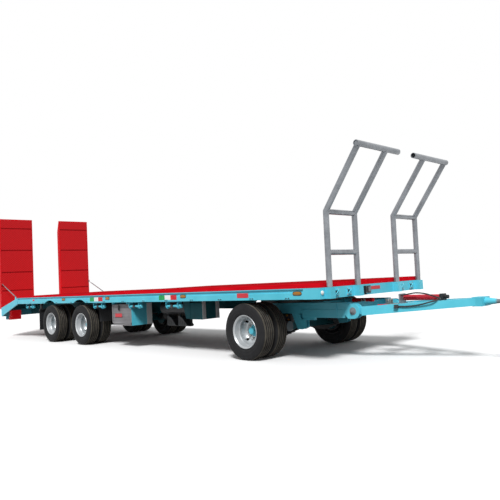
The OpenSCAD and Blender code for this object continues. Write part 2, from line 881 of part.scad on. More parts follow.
module ramp() {
    bar_h = 50;
    foot_bar = 45;
    bar_first = 260;
    bar_step = 570;
    skin = 6;
    low = 25;
    tip_t = 25;
    taper = 300;
    back = ramp_face - ramp_t;
    y1 = ramp_in + ramp_w;
    bars = [for (z = ramp_len - bar_first; z > foot_bar + bar_h; z = z - bar_step) z];
    tube_y0 = lug_in + lug_t + tube_gap;
    tube_y1 = lug_out - tube_gap;
    difference() {
        union() {
            for (y = [ramp_in, y1 - ramp_side]) plate_xz(y, ramp_side) polygon([
                [back, low], [ramp_face, low], [ramp_face, ramp_len], [ramp_face - tip_t, ramp_len],
                [back, ramp_len - taper]]);
            box([ramp_face - skin, ramp_in + 10, low], [ramp_face, y1 - 10, ramp_len]);
            for (z = concat([foot_bar], bars))
                box([ramp_face - 80, ramp_in + 10, z], [ramp_face - 1, y1 - 10, z + bar_h]);
            bar_y(0, 0, 28, tube_y0, tube_y1);
            box([-12, tube_y0, 0], [12, tube_y1, 60]);
        }
        bar_y(0, 0, ramp_pin_r + pin_gap, tube_y0 - 1, tube_y1 + 1);
    }
    // Eye plate for the stay
    z = stay_top_z - ramp_hz;
    box([ramp_face - 1, y1 - 10, z - 20], [ramp_face + 40, y1, z + 20]);
}

module ramp_right() {
    color(red) from_axle(ramp_hx) translate([0, 0, ramp_hz]) on_side(-1) ramp();
}

module ramp_left() {
    color(red) from_axle(ramp_hx) translate([0, 0, ramp_hz]) on_side(1) ramp();
}

// Stay rod with an eye at each end
module stay() {
    eye = 16;
    half = 8;
    rod_r = 7;
    sleeve_r = 12;
    translate([stay_x, stay_y, stay_z]) rotate([0, stay_turn, 0]) difference() {
        union() {
            bar_x(0, 0, rod_r, eye - 4 - stay_len, 4 - eye);
            bar_x(0, 0, sleeve_r, -0.8 * stay_len, -0.1 * stay_len);
            for (x = [0, -stay_len]) bar_y(x, 0, eye, -half, half);
        }
        for (x = [0, -stay_len]) bar_y(x, 0, stay_r + pin_gap, -eye, eye);
    }
}

module stay_right() {
    color(galvanised) from_axle() on_side(-1) stay();
}

module stay_left() {
    color(galvanised) from_axle() on_side(1) stay();
}

// Wheels: profiles are radius and distance outward from the twin's middle plane

module tyre_pair() {
    w = tyre_w / 2;
    bead = rim_half - 9;
    half = [
        [rim_r, bead], [rim_r + 17, bead], [rim_r + 40, w - 11], [rim_r + 92, w], [tyre_r - 46, w - 4],
        [tyre_r - 14, w - 17], [tyre_r, w - 38]];
    profile = concat(half, reversed([for (p = half) [p[0], -p[1]]]));
    for (s = [-1, 1])
        translate([0, s * twin_pitch / 2, 0]) rotate([-90, 0, 0]) rotate_extrude() polygon(profile);
}

module twin_rims() {
    barrel_t = 12;
    rim_in = rim_r - barrel_t;
    hole_r = 30;
    difference() {
        union() {
            for (s = [-1, 1]) {
                c = s * twin_pitch / 2;
                rotate([-90, 0, 0]) rotate_extrude() polygon([
                    [rim_in, c - rim_half], [rim_r + 15, c - rim_half], [rim_r + 15, c - rim_half + 8],
                    [rim_r - 0.5, c - rim_half + 8], [rim_r - 0.5, c + rim_half - 8],
                    [rim_r + 15, c + rim_half - 8], [rim_r + 15, c + rim_half], [rim_in, c + rim_half]]);
                rotate([-90, 0, 0]) rotate_extrude() polygon([
                    [spindle_r + 10, 0], [160, 0], [rim_in + 1, s * 44], [rim_in + 1, s * 60],
                    [158, s * 14], [spindle_r + 10, s * 14]]);
            }
            rotate([-90, 0, 0]) translate([0, 0, drum_in]) cylinder(r = hub_r, h = 95 - drum_in);
            rotate([-90, 0, 0]) rotate_extrude() polygon([
                [drum_r - 20, drum_in], [drum_r, drum_in], [drum_r, -88], [hub_r - 5, -88],
                [hub_r - 5, -102], [drum_r - 20, -102]]);
        }
        bar_y(0, 0, spindle_r + pin_gap, drum_in - 1, 72);
        for (a = [45 : 90 : 315]) rotate([0, a, 0]) bar_y(185, 0, hole_r, -70, 70);
    }
}

module tyres_at(x, side) {
    color(black) from_axle(x) translate([0, side * twin_y, axle_z]) on_side(side) tyre_pair();
}

module wheel_at(x, side) {
    color(silver) from_axle(x) translate([0, side * twin_y, axle_z]) on_side(side) twin_rims();
}

main_beams();
cross_members();
side_rail_right();
side_rail_left();
front_beam();
tail_beam();
deck_front();
deck_rear();
deck_tail();
ladder_right();
ladder_left();
strap_winches();
toolbox_body();
toolbox_lid();
toolbox_cradle();
side_locker();
junction_box();
tail_lamps();
marker_lamps();
mudflaps();
air_tanks();
spring_hangers();
bogie_springs();
axle_mid();
axle_rear();
brake_chambers_rear();
turntable_upper();
turntable_lower();
dolly_frame();
dolly_springs();
axle_front();
brake_chambers_front();
drawbar_frame();
tow_eye();
support_strut();
hose_holder();
air_coil();
brake_hose();
hose_coupling();
ramp_right();
ramp_left();
stay_right();
stay_left();
tyres_at(0, -1);  // tyres_front_right
tyres_at(0, 1);  // tyres_front_left
tyres_at(x_mid, -1);  // tyres_mid_right
tyres_at(x_mid, 1);  // tyres_mid_left
tyres_at(x_rear, -1);  // tyres_rear_right
tyres_at(x_rear, 1);  // tyres_rear_left
wheel_at(0, -1);  // wheel_front_right
wheel_at(0, 1);  // wheel_front_left
wheel_at(x_mid, -1);  // wheel_mid_right
wheel_at(x_mid, 1);  // wheel_mid_left
wheel_at(x_rear, -1);  // wheel_rear_right
wheel_at(x_rear, 1);  // wheel_rear_left
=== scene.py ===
"""Looks of a three-axle platform trailer with ramps, ladders and an A-frame drawbar, in metres."""
import math

import bpy
from mathutils import Matrix, Vector


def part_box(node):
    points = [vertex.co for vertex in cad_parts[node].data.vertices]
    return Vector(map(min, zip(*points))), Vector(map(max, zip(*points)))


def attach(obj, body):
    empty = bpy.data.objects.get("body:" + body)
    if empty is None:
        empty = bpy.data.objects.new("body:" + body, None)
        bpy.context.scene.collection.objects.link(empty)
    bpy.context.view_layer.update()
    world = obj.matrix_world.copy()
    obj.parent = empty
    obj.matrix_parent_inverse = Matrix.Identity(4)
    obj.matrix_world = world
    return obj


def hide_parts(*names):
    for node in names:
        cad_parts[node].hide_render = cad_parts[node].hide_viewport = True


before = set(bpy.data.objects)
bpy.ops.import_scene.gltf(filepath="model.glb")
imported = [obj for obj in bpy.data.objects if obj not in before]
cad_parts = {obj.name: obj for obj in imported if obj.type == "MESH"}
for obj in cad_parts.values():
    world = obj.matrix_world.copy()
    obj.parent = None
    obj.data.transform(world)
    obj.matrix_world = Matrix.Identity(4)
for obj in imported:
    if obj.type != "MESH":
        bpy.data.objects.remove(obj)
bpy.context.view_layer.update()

# Places taken from the frame
low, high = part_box("axle_front")
AXLE_X = (low.x + high.x) / 2
low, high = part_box("tyres_front_right")
TYRE_R = (high.z - low.z) / 2
TWIN_W = high.y - low.y
HALF_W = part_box("side_rail_left")[1].y
BED_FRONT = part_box("side_rail_left")[1].x
RAIL_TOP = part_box("deck_front")[0].z
RAIL_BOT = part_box("front_beam")[0].z
KINK_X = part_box("deck_rear")[0].x
TAIL_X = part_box("deck_tail")[0].x
WEB_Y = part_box("strap_winches")[1].y

SIDES = {"right": -1, "left": 1}
AXLES = ("front", "mid", "rear")


# Camera at the photograph's place, for a 500 by 500 frame
def photo_camera():
    frame_px = 500
    focal_px = 556.9
    centre_px = Vector((237.9, 238.7))
    place = Vector((AXLE_X + 5.689, -6.714, 1.143))
    yaw, pitch, roll = (math.radians(a) for a in (136.169, 4.153, -3.181))
    forward = Vector((math.cos(pitch) * math.cos(yaw), math.cos(pitch) * math.sin(yaw), math.sin(pitch)))
    level = Vector((math.sin(yaw), -math.cos(yaw), 0))
    upright = level.cross(forward)
    right = math.cos(roll) * level + math.sin(roll) * upright
    up = right.cross(forward)
    data = bpy.data.cameras.new("photo_camera")
    data.sensor_width = 36
    data.lens = data.sensor_width * focal_px / frame_px
    data.shift_x = 0.5 - centre_px.x / frame_px
    data.shift_y = centre_px.y / frame_px - 0.5
    data.clip_end = 200
    camera = bpy.data.objects.new("photo_camera", data)
    bpy.context.scene.collection.objects.link(camera)
    turn = Matrix((right, up, -forward)).transposed()
    camera.matrix_world = Matrix.Translation(place) @ turn.to_4x4()
    bpy.context.scene.camera = camera


photo_camera()


# Small tools

def deselect():
    bpy.ops.object.select_all(action="DESELECT")


def pick(piece):
    """Makes a piece the only selected and the active one."""
    deselect()
    piece.select_set(True)
    bpy.context.view_layer.objects.active = piece


def apply_place(piece, name):
    piece.name = piece.data.name = name
    bpy.ops.object.transform_apply(location=True, rotation=True, scale=True)
    return piece


def bevel(piece, width, segments=2):
    mod = piece.modifiers.new("edge", "BEVEL")
    mod.width = width
    mod.segments = segments
    mod.limit_method = "ANGLE"
    mod.angle_limit = math.radians(35)
    bpy.context.view_layer.objects.active = piece
    bpy.ops.object.modifier_apply(modifier=mod.name)
    return piece


def block(name, a, b, edge=0.003):
    """Box between two corners, with broken edges."""
    a, b = Vector(a), Vector(b)
    deselect()
    bpy.ops.mesh.primitive_cube_add(size=1, location=(a + b) / 2)
    piece = bpy.context.object
    piece.scale = [abs(d) for d in b - a]
    apply_place(piece, name)
    return bevel(piece, edge) if edge else piece


def rod(name, a, b, radius, sides=24, edge=0.0):
    """Round bar between two points; few sides make a nut."""
    a, b = Vector(a), Vector(b)
    deselect()
    bpy.ops.mesh.primitive_cylinder_add(
        vertices=sides, radius=radius, depth=(b - a).length, location=(a + b) / 2,
        rotation=(b - a).to_track_quat("Z", "Y").to_euler())
    piece = apply_place(bpy.context.object, name)
    if edge:
        bevel(piece, edge)
    if sides > 8:
        bpy.ops.object.shade_smooth_by_angle(angle=math.radians(40))
    return piece


def spun(name, profile, centre=(0, 0, 0), steps=72, swing=0):
    """Shape turned about Y, swung round Z by degrees and set at centre; the profile is (radius, y)."""
    deselect()
    bpy.ops.mesh.primitive_plane_add(size=0.01, location=(0, 0, 0))
    piece = bpy.context.object
    bpy.ops.object.mode_set(mode="EDIT")
    bpy.ops.mesh.select_all(action="SELECT")
    bpy.ops.mesh.merge(type="CENTER")
    bpy.ops.transform.translate(value=(*profile[0], 0))
    for here, there in zip(profile, profile[1:]):
        step = (there[0] - here[0], there[1] - here[1], 0)
        bpy.ops.mesh.extrude_region_move(TRANSFORM_OT_translate={"value": step})
    bpy.ops.mesh.select_all(action="SELECT")
    bpy.ops.mesh.spin(steps=steps, angle=math.tau, center=(0, 0, 0), axis=(0, 1, 0))
    bpy.ops.mesh.select_all(action="SELECT")
    bpy.ops.mesh.remove_doubles(threshold=0.00002)
    bpy.ops.mesh.normals_make_consistent(inside=False)
    bpy.ops.object.mode_set(mode="OBJECT")
    piece.location = centre
    piece.rotation_euler.z = math.radians(swing)
    apply_place(piece, name)
    bpy.ops.object.shade_smooth_by_angle(angle=math.radians(32))
    return piece


def bisected(piece, place, normal):
    """Cuts a piece along a plane, drops the side that the normal points to and closes the cut."""
    pick(piece)
    bpy.ops.object.mode_set(mode="EDIT")
    bpy.ops.mesh.select_all(action="SELECT")
    bpy.ops.mesh.bisect(plane_co=place, plane_no=normal, clear_outer=True, use_fill=True)
    bpy.ops.object.mode_set(mode="OBJECT")


def cut_away(piece, cutter):
    """Takes the cutter's shape out of a piece, and removes the cutter."""
    mod = piece.modifiers.new("cut", "BOOLEAN")
    mod.object = cutter
    mod.operation = "DIFFERENCE"
    bpy.context.view_layer.objects.active = piece
    bpy.ops.object.modifier_apply(modifier=mod.name)
    bpy.data.objects.remove(cutter)


def swap_side(piece):
    """Mirrors a piece from one side of the trailer to the other."""
    piece.data.transform(Matrix.Diagonal((1, -1, 1, 1)))
    piece.data.flip_normals()


def copy_of(piece, name, move=(0, 0, 0), mirror_y=False):
    twin = piece.copy()
    twin.data = piece.data.copy()
    twin.name = twin.data.name = name
    bpy.context.scene.collection.objects.link(twin)
    if mirror_y:
        swap_side(twin)
    twin.data.transform(Matrix.Translation(move))
    return twin


def join(pieces, name):
    deselect()
    for piece in pieces:
        piece.select_set(True)
    bpy.context.view_layer.objects.active = pieces[0]
    if len(pieces) > 1:
        bpy.ops.object.join()
    joined = bpy.context.object
    joined.name = joined.data.name = name
    return joined


def coated(piece, *finishes):
    """Gives a piece these materials in place of any that it has."""
    piece.data.materials.clear()
    for finish in finishes:
        piece.data.materials.append(finish)
    return piece


def dress(piece, material, body, replaced=()):
    """Gives a piece its material and body, and hides the nodes that it stands for."""
    if material:
        coated(piece, material)
    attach(piece, body)
    if replaced:
        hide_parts(*replaced)
    return piece


# Materials

MM = 0.001


def linear(code):
    """sRGB hex to linear colour."""
    parts = [int(code[i:i + 2], 16) / 255 for i in (1, 3, 5)]
    return [c / 12.92 if c <= 0.04045 else ((c + 0.055) / 1.055) ** 2.4 for c in parts] + [1]


def add(tree, kind, inputs=None, to=None, stops=(), **settings):
    """One shader node with its settings, its inputs' values or links, a ramp's stops and where it leads."""
    made = tree.nodes.new("ShaderNode" + kind)
    for key, value in settings.items():
        setattr(made, key, value)
    for key, value in (inputs or {}).items():
        if isinstance(value, bpy.types.NodeSocket):
            tree.links.new(value, made.inputs[key])
        else:
            made.inputs[key].default_value = value
    for i, (position, code) in enumerate(stops):
        made.color_ramp.elements[i].position = position
        made.color_ramp.elements[i].color = linear(code)
    if to is not None:
        tree.links.new(made.outputs[0], to)
    return made


def start(name, roughness, metallic=0.0, ior=1.5, coat=0.0, gloss=0.5):
    """A new material, its tree, its shader and the piece's own coordinates."""
    mat = bpy.data.materials.new(name)
    mat.use_nodes = True
    tree = mat.node_tree
    shader = tree.nodes["Principled BSDF"]
    shader.inputs["Roughness"].default_value = roughness
    shader.inputs["Metallic"].default_value = metallic
    shader.inputs["IOR"].default_value = ior
    shader.inputs["Coat Weight"].default_value = coat
    shader.inputs["Specular IOR Level"].default_value = gloss
    place = add(tree, "TexCoord").outputs["Object"]
    return mat, tree, shader, place


def mottle(tree, shader, place, dark, light, size_mm):
    """Cloudy change between two shades, with patches of a size in millimetres."""
    noise = add(tree, "TexNoise", {"Vector": place, "Scale": 1000 / size_mm, "Detail": 4.0})
    add(tree, "ValToRGB", {"Fac": noise.outputs["Fac"]}, to=shader.inputs["Base Color"],
        stops=((0.35, dark), (0.65, light)))
    return noise


def grained(name, shades, patch_mm, grain, detail, grain_mm, depth_mm, strength, **values):
    """Cloudy colour over a fine relief; sizes of patches and grain and the relief's depth in millimetres."""
    mat, tree, shader, place = start(name, **values)
    mottle(tree, shader, place, *shades, patch_mm)
    fine = add(tree, grain, {"Vector": place, "Scale": 1000 / grain_mm, "Detail": detail})
    add(tree, "Bump", {"Height": fine.outputs[0], "Distance": depth_mm * MM, "Strength": strength},
        to=shader.inputs["Normal"])
    return mat


def sprayed_paint(name, dark, light, roughness, gloss=0.3, metallic=0.0):
    """Two-pack enamel sprayed on steel: even colour, soft gloss, faint orange peel."""
    return grained(name, (dark, light), 420, "TexNoise", 1.0, 9, 0.25, 0.35,
                   roughness=roughness, metallic=metallic, coat=0.03, gloss=gloss)


def galvanised_steel():
    """Hot-dip zinc on tube: soft spangles a few centimetres across, dull and a little blotchy."""
    mat, tree, shader, place = start("hot_dip_zinc", 0.27, metallic=0.55)
    spangle = add(tree, "TexVoronoi", {"Vector": place, "Scale": 1000 / 30}, feature="SMOOTH_F1")
    cloud = add(tree, "TexNoise", {"Vector": place, "Scale": 1000 / 170, "Detail": 4.0})
    blend = add(tree, "Mix", {0: 0.22, 2: cloud.outputs["Fac"], 3: spangle.outputs["Distance"]},
                data_type="FLOAT")
    add(tree, "ValToRGB", {"Fac": blend.outputs[0]}, to=shader.inputs["Base Color"],
        stops=((0.3, "#7C8085"), (0.7, "#9CA0A5")))
    add(tree, "Bump", {"Height": cloud.outputs["Fac"], "Distance": 0.4 * MM, "Strength": 0.12},
        to=shader.inputs["Normal"])
    return mat


def tyre_rubber(name, dark, light):
    """Vulcanised black rubber, greyed by road dust."""
    return grained(name, (dark, light), 120, "TexNoise", 2.0, 5, 0.5, 0.4,
                   roughness=0.8, ior=1.52, gloss=0.3)


def moulded_plastic(name, dark, light):
    """Moulded or extruded plastic with a fine pebble grain, drawn coarse enough to show."""
    return grained(name, (dark, light), 200, "TexVoronoi", 0.0, 6, 0.4, 0.4,
                   roughness=0.55, ior=1.49)


def anti_slip_red():
    """Red-painted expanded steel sheet: diamond strands at a 40 mm pitch."""
    mat, tree, shader, place = start("red_expanded_sheet", 0.5, gloss=0.15)
    strands = []
    for turn in (35, -35):
        turned = add(tree, "Mapping", {"Vector": place, "Rotation": (math.radians(turn), 0, 0)})
        wave = add(tree, "TexWave", {"Vector": turned.outputs[0], "Scale": 1000 / 40 / math.pi,
                                               "Distortion": 0.0}, bands_direction="Z")
        strands.append(wave.outputs["Fac"])
    top = add(tree, "Math", {0: strands[0], 1: strands[1]}, operation="MAXIMUM").outputs[0]
    add(tree, "ValToRGB", {"Fac": top}, to=shader.inputs["Base Color"],
        stops=((0.45, "#B4141A"), (0.95, "#CE2026")))
    add(tree, "Bump", {"Height": top, "Distance": 3.0 * MM, "Strength": 0.6},
        to=shader.inputs["Normal"])
    return mat


def painted_board(name, dark, light):
    """Red-painted softwood boards: long grain shows through the paint."""
    mat, tree, shader, place = start(name, 0.8, gloss=0.0)
    stretched = add(tree, "Mapping", {"Vector": place, "Scale": (0.06, 1, 1)})
    grain = mottle(tree, shader, stretched.outputs[0], dark, light, size_mm=22)
    add(tree, "Bump", {"Height": grain.outputs["Fac"], "Distance": 0.8 * MM, "Strength": 0.5},
        to=shader.inputs["Normal"])
    return mat


def lens(name, colour, glow=0.0):
    """Acrylic lamp lens with fine flutes; glow adds painted light, an emission in the lens's colour that keeps
    an unlit lens bright in shade.
    """
    mat, tree, shader, place = start(name, 0.2, ior=1.49, coat=0.1, gloss=0.3)
    shader.inputs["Base Color"].default_value = linear(colour)
    shader.inputs["Emission Color"].default_value = linear(colour)
    shader.inputs["Emission Strength"].default_value = glow
    flute = add(tree, "TexWave", {"Vector": place, "Scale": 1000 / 8 / math.pi}, bands_direction="Z")
    add(tree, "Bump", {"Height": flute.outputs["Fac"], "Distance": 0.6 * MM, "Strength": 0.5},
        to=shader.inputs["Normal"])
    return mat


def film(name, dark, light):
    """Self-adhesive retroreflective film with its honeycomb cells."""
    return grained(name, (dark, light), 60, "TexVoronoi", 0.0, 5, 0.1, 0.3,
                   roughness=0.4, coat=0.05, gloss=0.25)


def zinc_plated():
    """Zinc-plated fasteners and fittings: bright, slightly yellow, a little cloudy."""
    mat, tree, shader, place = start("zinc_plated_steel", 0.3, metallic=0.9)
    mottle(tree, shader, place, "#A7A9A6", "#C9CBC8", size_mm=15)
    return mat


def eye_neck_finish():
    """Teal enamel on the neck that ends where the forged eye stays bare and scuffed."""
    mat, tree, shader, place = start("enamel_and_forged_steel", 0.45, gloss=0.4)
    along = add(tree, "SeparateXYZ", {0: place})
    edge = add(tree, "TexNoise", {"Vector": place, "Scale": 1000 / 30, "Detail": 3.0})
    ragged = add(tree, "Math", {0: edge.outputs["Fac"], 1: 0.03, 2: along.outputs["X"]},
                 operation="MULTIPLY_ADD")
    neck_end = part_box("tow_eye")[0].x + 0.13
    bare = add(tree, "MapRange", {0: ragged.outputs[0], 1: neck_end, 2: neck_end + 0.025})
    scuffs = add(tree, "TexNoise", {"Vector": place, "Scale": 1000 / 12, "Detail": 5.0})
    steel = add(tree, "Mix", {0: scuffs.outputs["Fac"], 6: linear("#5E6164"), 7: linear("#92969A")},
                data_type="RGBA")
    colour = add(tree, "Mix", {0: bare.outputs[0], 6: linear("#58C5DA"), 7: steel.outputs[2]},
                 data_type="RGBA")
    tree.links.new(colour.outputs[2], shader.inputs["Base Color"])
    add(tree, "Bump", {"Height": scuffs.outputs["Fac"], "Distance": 0.4 * MM, "Strength": 0.3},
        to=shader.inputs["Normal"])
    return mat


teal_paint = sprayed_paint("teal_enamel", "#52C0D6", "#62CDE2", 0.38)
red_paint = sprayed_paint("red_enamel", "#C60C16", "#D8121E", 0.55, gloss=0.1)
# Darker teal on the parts under the bed and on the locker: painted shade, standing for the shadow that lies
# under the bed.
painted_shade_teal = sprayed_paint("teal_enamel_darkened_as_painted_shade", "#175058", "#226670", 0.6, gloss=0.15)
black_paint = sprayed_paint("black_chassis_enamel", "#141518", "#222326", 0.5)
silver_paint = sprayed_paint("silver_wheel_enamel", "#A8ABAE", "#BDC0C2", 0.34, metallic=0.35)
plate_red = sprayed_paint("red_stove_enamel", "#C8323C", "#D63E48", 0.45)
# Darker red strips in the ramp joints: painted shade for the shadow in the gaps between panels.
painted_shade_red_joint = sprayed_paint("red_joint_strips_painted_shade", "#850B11", "#960F15", 0.85, gloss=0.05)
chamber_grey = sprayed_paint("grey_chamber_enamel", "#6E7276", "#84888C", 0.5)
zinc = galvanised_steel()
plated = zinc_plated()
eye_finish = eye_neck_finish()
rubber = tyre_rubber("tyre_rubber", "#0E0E10", "#19191B")
tread_rubber = tyre_rubber("dusty_tread_rubber", "#3C3831", "#5A554C")
grey_plastic = moulded_plastic("grey_polyethylene", "#868487", "#979598")
black_plastic = moulded_plastic("black_polypropylene", "#17181A", "#232427")
red_hose = moulded_plastic("red_polyamide_hose", "#B00E24", "#C41832")
black_hose = moulded_plastic("black_rubber_hose", "#131416", "#1E1F22")
pale_strip = moulded_plastic("pale_grey_polyethylene", "#DCE0E1", "#EEF1F1")
ramp_sheet = anti_slip_red()
deck_board = painted_board("red_painted_board", "#CC0C18", "#E21422")
# The darker red on the boards' upper faces is partly wear and partly painted shade, which tones down the
# strong light on the deck's top.
worn_board_with_painted_shade = painted_board("worn_red_board_with_painted_shade", "#8E1217", "#B41A20")
# The red lenses glow as painted light: the lamps are not lit, and the emission keeps them bright in the shade
# under the bed.
glowing_red_lens = lens("red_acrylic_with_painted_glow", "#D8141E", glow=0.3)
amber_lens = lens("amber_acrylic", "#A8701E")
white_lens = lens("clear_acrylic", "#E6EAEA")
green_film = film("green_film", "#12964A", "#1EA65A")
white_film = film("white_film", "#E9ECEC", "#F6F8F8")
red_film = film("red_film", "#C81424", "#D62232")


# Finish of the solids that stay as they are

PAINTED = {
    teal_paint: (
        "side_rail_right", "side_rail_left", "front_beam", "tail_beam", "strap_winches", "toolbox_cradle",
        "dolly_frame", "drawbar_frame"),
    # painted shade: this darker teal stands for the shadow under the bed
    painted_shade_teal: ("main_beams", "cross_members", "side_locker", "spring_hangers", "axle_front", "axle_mid",
                  "axle_rear"),
    red_paint: ("deck_front", "deck_rear", "deck_tail", "ramp_right", "ramp_left", "support_strut"),
    zinc: ("ladder_right", "ladder_left", "stay_right", "stay_left", "hose_holder"),
    black_paint: ("air_tanks", "bogie_springs", "brake_chambers_rear", "turntable_upper", "turntable_lower",
                  "dolly_springs"),
    chamber_grey: ("brake_chambers_front",),
    eye_finish: ("tow_eye",),
    grey_plastic: ("toolbox_body", "toolbox_lid"),
    black_plastic: ("junction_box", "mudflaps", "hose_coupling"),
    # the tail lamps glow as painted light
    glowing_red_lens: ("tail_lamps",),
    amber_lens: ("marker_lamps",),
}
for finish, names in PAINTED.items():
    for name in names:
        coated(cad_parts[name], finish)


# Free hoses at the drawbar; the route repeats the solid's points, in millimetres from the front axle

HOSE_R = 0.009
HOSE_ROUTE = (
    (1790, -25, 812), (1850, -25, 818), (1920, -30, 828), (2000, -42, 838), (2090, -58, 836),
    (2180, -74, 822), (2260, -90, 802), (2330, -110, 782), (2390, -150, 768), (2418, -200, 760),
    (2412, -250, 758), (2372, -290, 744), (2310, -312, 728), (2230, -330, 708), (2140, -352, 694),
    (2050, -380, 688), (1960, -406, 690))


def smooth_route(points, parts=5):
    """Points along a smooth curve through the given ones."""
    ends = [2 * points[0] - points[1], *points, 2 * points[-1] - points[-2]]
    route = []
    for a, b, c, d in zip(ends, ends[1:], ends[2:], ends[3:]):
        for i in range(parts):
            t = i / parts
            route.append(0.5 * (2 * b + (c - a) * t + (2 * a - 5 * b + 4 * c - d) * t ** 2
                                + (3 * b - a - 3 * c + d) * t ** 3))
    return route + [points[-1]]


def hose(name, route, radius):
    data = bpy.data.curves.new(name, "CURVE")
    data.dimensions = "3D"
    data.bevel_depth = radius
    data.bevel_resolution = 3
    data.use_fill_caps = True
    line = data.splines.new("POLY")
    line.points.add(len(route) - 1)
    for point, place in zip(line.points, route):
        point.co = (*place, 1)
    piece = bpy.data.objects.new(name, data)
    bpy.context.scene.collection.objects.link(piece)
    return piece


def drawbar_hoses():
    route = smooth_route([Vector((AXLE_X + x / 1000, y / 1000, z / 1000)) for x, y, z in HOSE_ROUTE])
    brake = dress(hose("brake_hose_line", route, HOSE_R), black_hose, "drawbar", ["brake_hose"])
    low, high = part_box("air_coil")
    wire = 0.0065
    turns, per_turn = 31, 18
    middle = (low + high) / 2
    ring = (high.z - low.z) / 2 - wire
    count = turns * per_turn
    helix = []
    for i in range(count + 1):
        turn = math.tau * i / per_turn
        across = Vector((0, math.cos(turn), math.sin(turn))) * ring
        x = low.x + wire + (high.x - low.x - 2 * wire) * i / count
        helix.append(Vector((x, middle.y, middle.z)) + across)
    coil = dress(hose("air_coil_line", helix, wire), red_hose, "drawbar", ["air_coil"])


drawbar_hoses()


# Twin wheels, modelled once on the left about the origin and copied to the six places

TYRE_W = 0.235
TWIN_PITCH = TWIN_W - TYRE_W
RIM_HALF = 0.098
BEAD_R = 0.222
TREAD_RIB = 0.004


def tyre_profile(width, radius, bead):
    """Outline of a tyre with four grooves round its tread, as (radius, y)."""
    half = width / 2
    groove, depth, crown = 0.009, 0.011, radius - 0.0008
    outline = [
        (bead, half - 0.03), (bead + 0.018, half - 0.03), (bead + 0.03, half - 0.018),
        (bead + 0.055, half - 0.006), (bead + 0.062, half - 0.0045), (bead + 0.066, half - 0.0065),
        (bead + 0.09, half), (bead + 0.108, half - 0.001), (bead + 0.112, half - 0.003),
        (radius - 0.046, half - 0.004), (radius - 0.03, half - 0.009), (radius - 0.016, half - 0.016),
        (radius - 0.005, half - 0.027), (radius - 0.0015, half - 0.038)]
    for middle in (half * 0.46, half * 0.15):
        outline += [(crown, middle + groove), (radius - depth, middle + groove * 0.55),
                    (radius - depth, middle - groove * 0.55), (crown, middle - groove)]
    outline += [(r, -y) for r, y in reversed(outline)]
    return outline + outline[:1]


def on_circle(radius, count, first=0.0):
    """Points spread round the wheel's axis, the first at an angle in degrees."""
    turns = [math.radians(first) + math.tau * i / count for i in range(count)]
    return [Vector((math.cos(turn), 0, math.sin(turn))) * radius for turn in turns]


def along_axis(name, across, y0, y1, *shape):
    """Bar beside the wheel's axis and in line with it."""
    return rod(name, across + Vector((0, y0, 0)), across + Vector((0, y1, 0)), *shape)


def twin_tyres():
    profile = tyre_profile(TYRE_W, TYRE_R, BEAD_R)
    outer = coated(spun("tyre", profile, (0, TWIN_PITCH / 2, 0), steps=88), rubber, tread_rubber)
    for face in outer.data.polygons:
        face.material_index = int(math.hypot(face.center.x, face.center.z) > TYRE_R - TREAD_RIB)
    return join([outer, copy_of(outer, "inner_tyre", (0, -TWIN_PITCH, 0))], "twin_tyres")


def dished_rim():
    """Deep-dished disc wheel of the outer tyre: lip, well, dish and bolting face, with four hand holes."""
    c = TWIN_PITCH / 2
    lip, well = c + RIM_HALF, c - RIM_HALF
    outline = [
        (0.062, 0.016), (0.138, 0.016), (0.156, 0.020), (0.17, 0.033), (0.187, 0.062), (0.192, 0.076),
        (0.194, c - 0.042), (0.188, c - 0.03), (0.188, c + 0.008), (0.199, c + 0.024), (0.201, c + 0.046),
        (0.2095, c + 0.058), (0.2115, c + 0.08), (0.222, lip - 0.008), (0.228, lip - 0.001), (0.234, lip),
        (0.237, lip - 0.004), (0.2355, lip - 0.008), (0.2215, lip - 0.012), (0.2205, c + 0.06),
        (0.213, c + 0.04), (0.213, c - 0.04), (0.2205, c - 0.06), (0.2215, well + 0.012),
        (0.2365, well + 0.008), (0.2365, well), (0.208, well + 0.002), (0.204, 0.058), (0.166, 0.012),
        (0.15, 0.002), (0.062, 0.001)]
    rim = spun("rim", outline + outline[:1], steps=88)
    holes = [along_axis("hand_hole", across, -0.05, 0.082, 0.022) for across in on_circle(0.183, 4, 45)]
    cut_away(rim, join(holes, "hand_holes"))
    pick(rim)
    bpy.ops.object.shade_smooth_by_angle(angle=math.radians(32))
    return coated(rim, silver_paint)


def wheel_hub():
    """Hub with its cap, flange and ten wheel nuts."""
    cap = spun("hub", [
        (0, 0.104), (0.03, 0.104), (0.043, 0.1), (0.05, 0.09), (0.052, 0.062), (0.06, 0.058), (0.066, 0.05),
        (0.068, 0.03), (0.082, 0.026), (0.086, 0.016), (0.03, 0.014)], steps=48)
    nuts = []
    for across in on_circle(0.1125, 10):
        nuts.append(along_axis("nut", across, 0.015, 0.036, 0.0165, 6, 0.002))
        nuts.append(along_axis("stud", across, 0.034, 0.05, 0.0095, 12, 0.002))
    return [coated(cap, teal_paint), coated(join(nuts, "wheel_nuts"), plated)]


def brake_drum():
    """Cast drum behind the inner wheel, with cooling ribs, and the nave inside it."""
    bore, shell, root, rib = 0.062, 0.16, 0.174, 0.18
    front, back, end = -0.088, -0.102, -0.2345
    outline = [(bore, front), (rib, -0.09)]
    for i in range(4):
        y = -0.105 - 0.034 * i
        outline += [(rib, y), (root, y - 0.004), (root, y - 0.014), (rib, y - 0.018)]
    drum = spun("drum", outline + [(rib, end), (shell, end), (shell, back), (bore, back)], steps=64)
    nave = spun("nave", [(0.061, -0.01), (0.061, -0.234), (0.036, -0.234)], steps=40)
    return [coated(drum, black_paint), coated(nave, black_paint)]


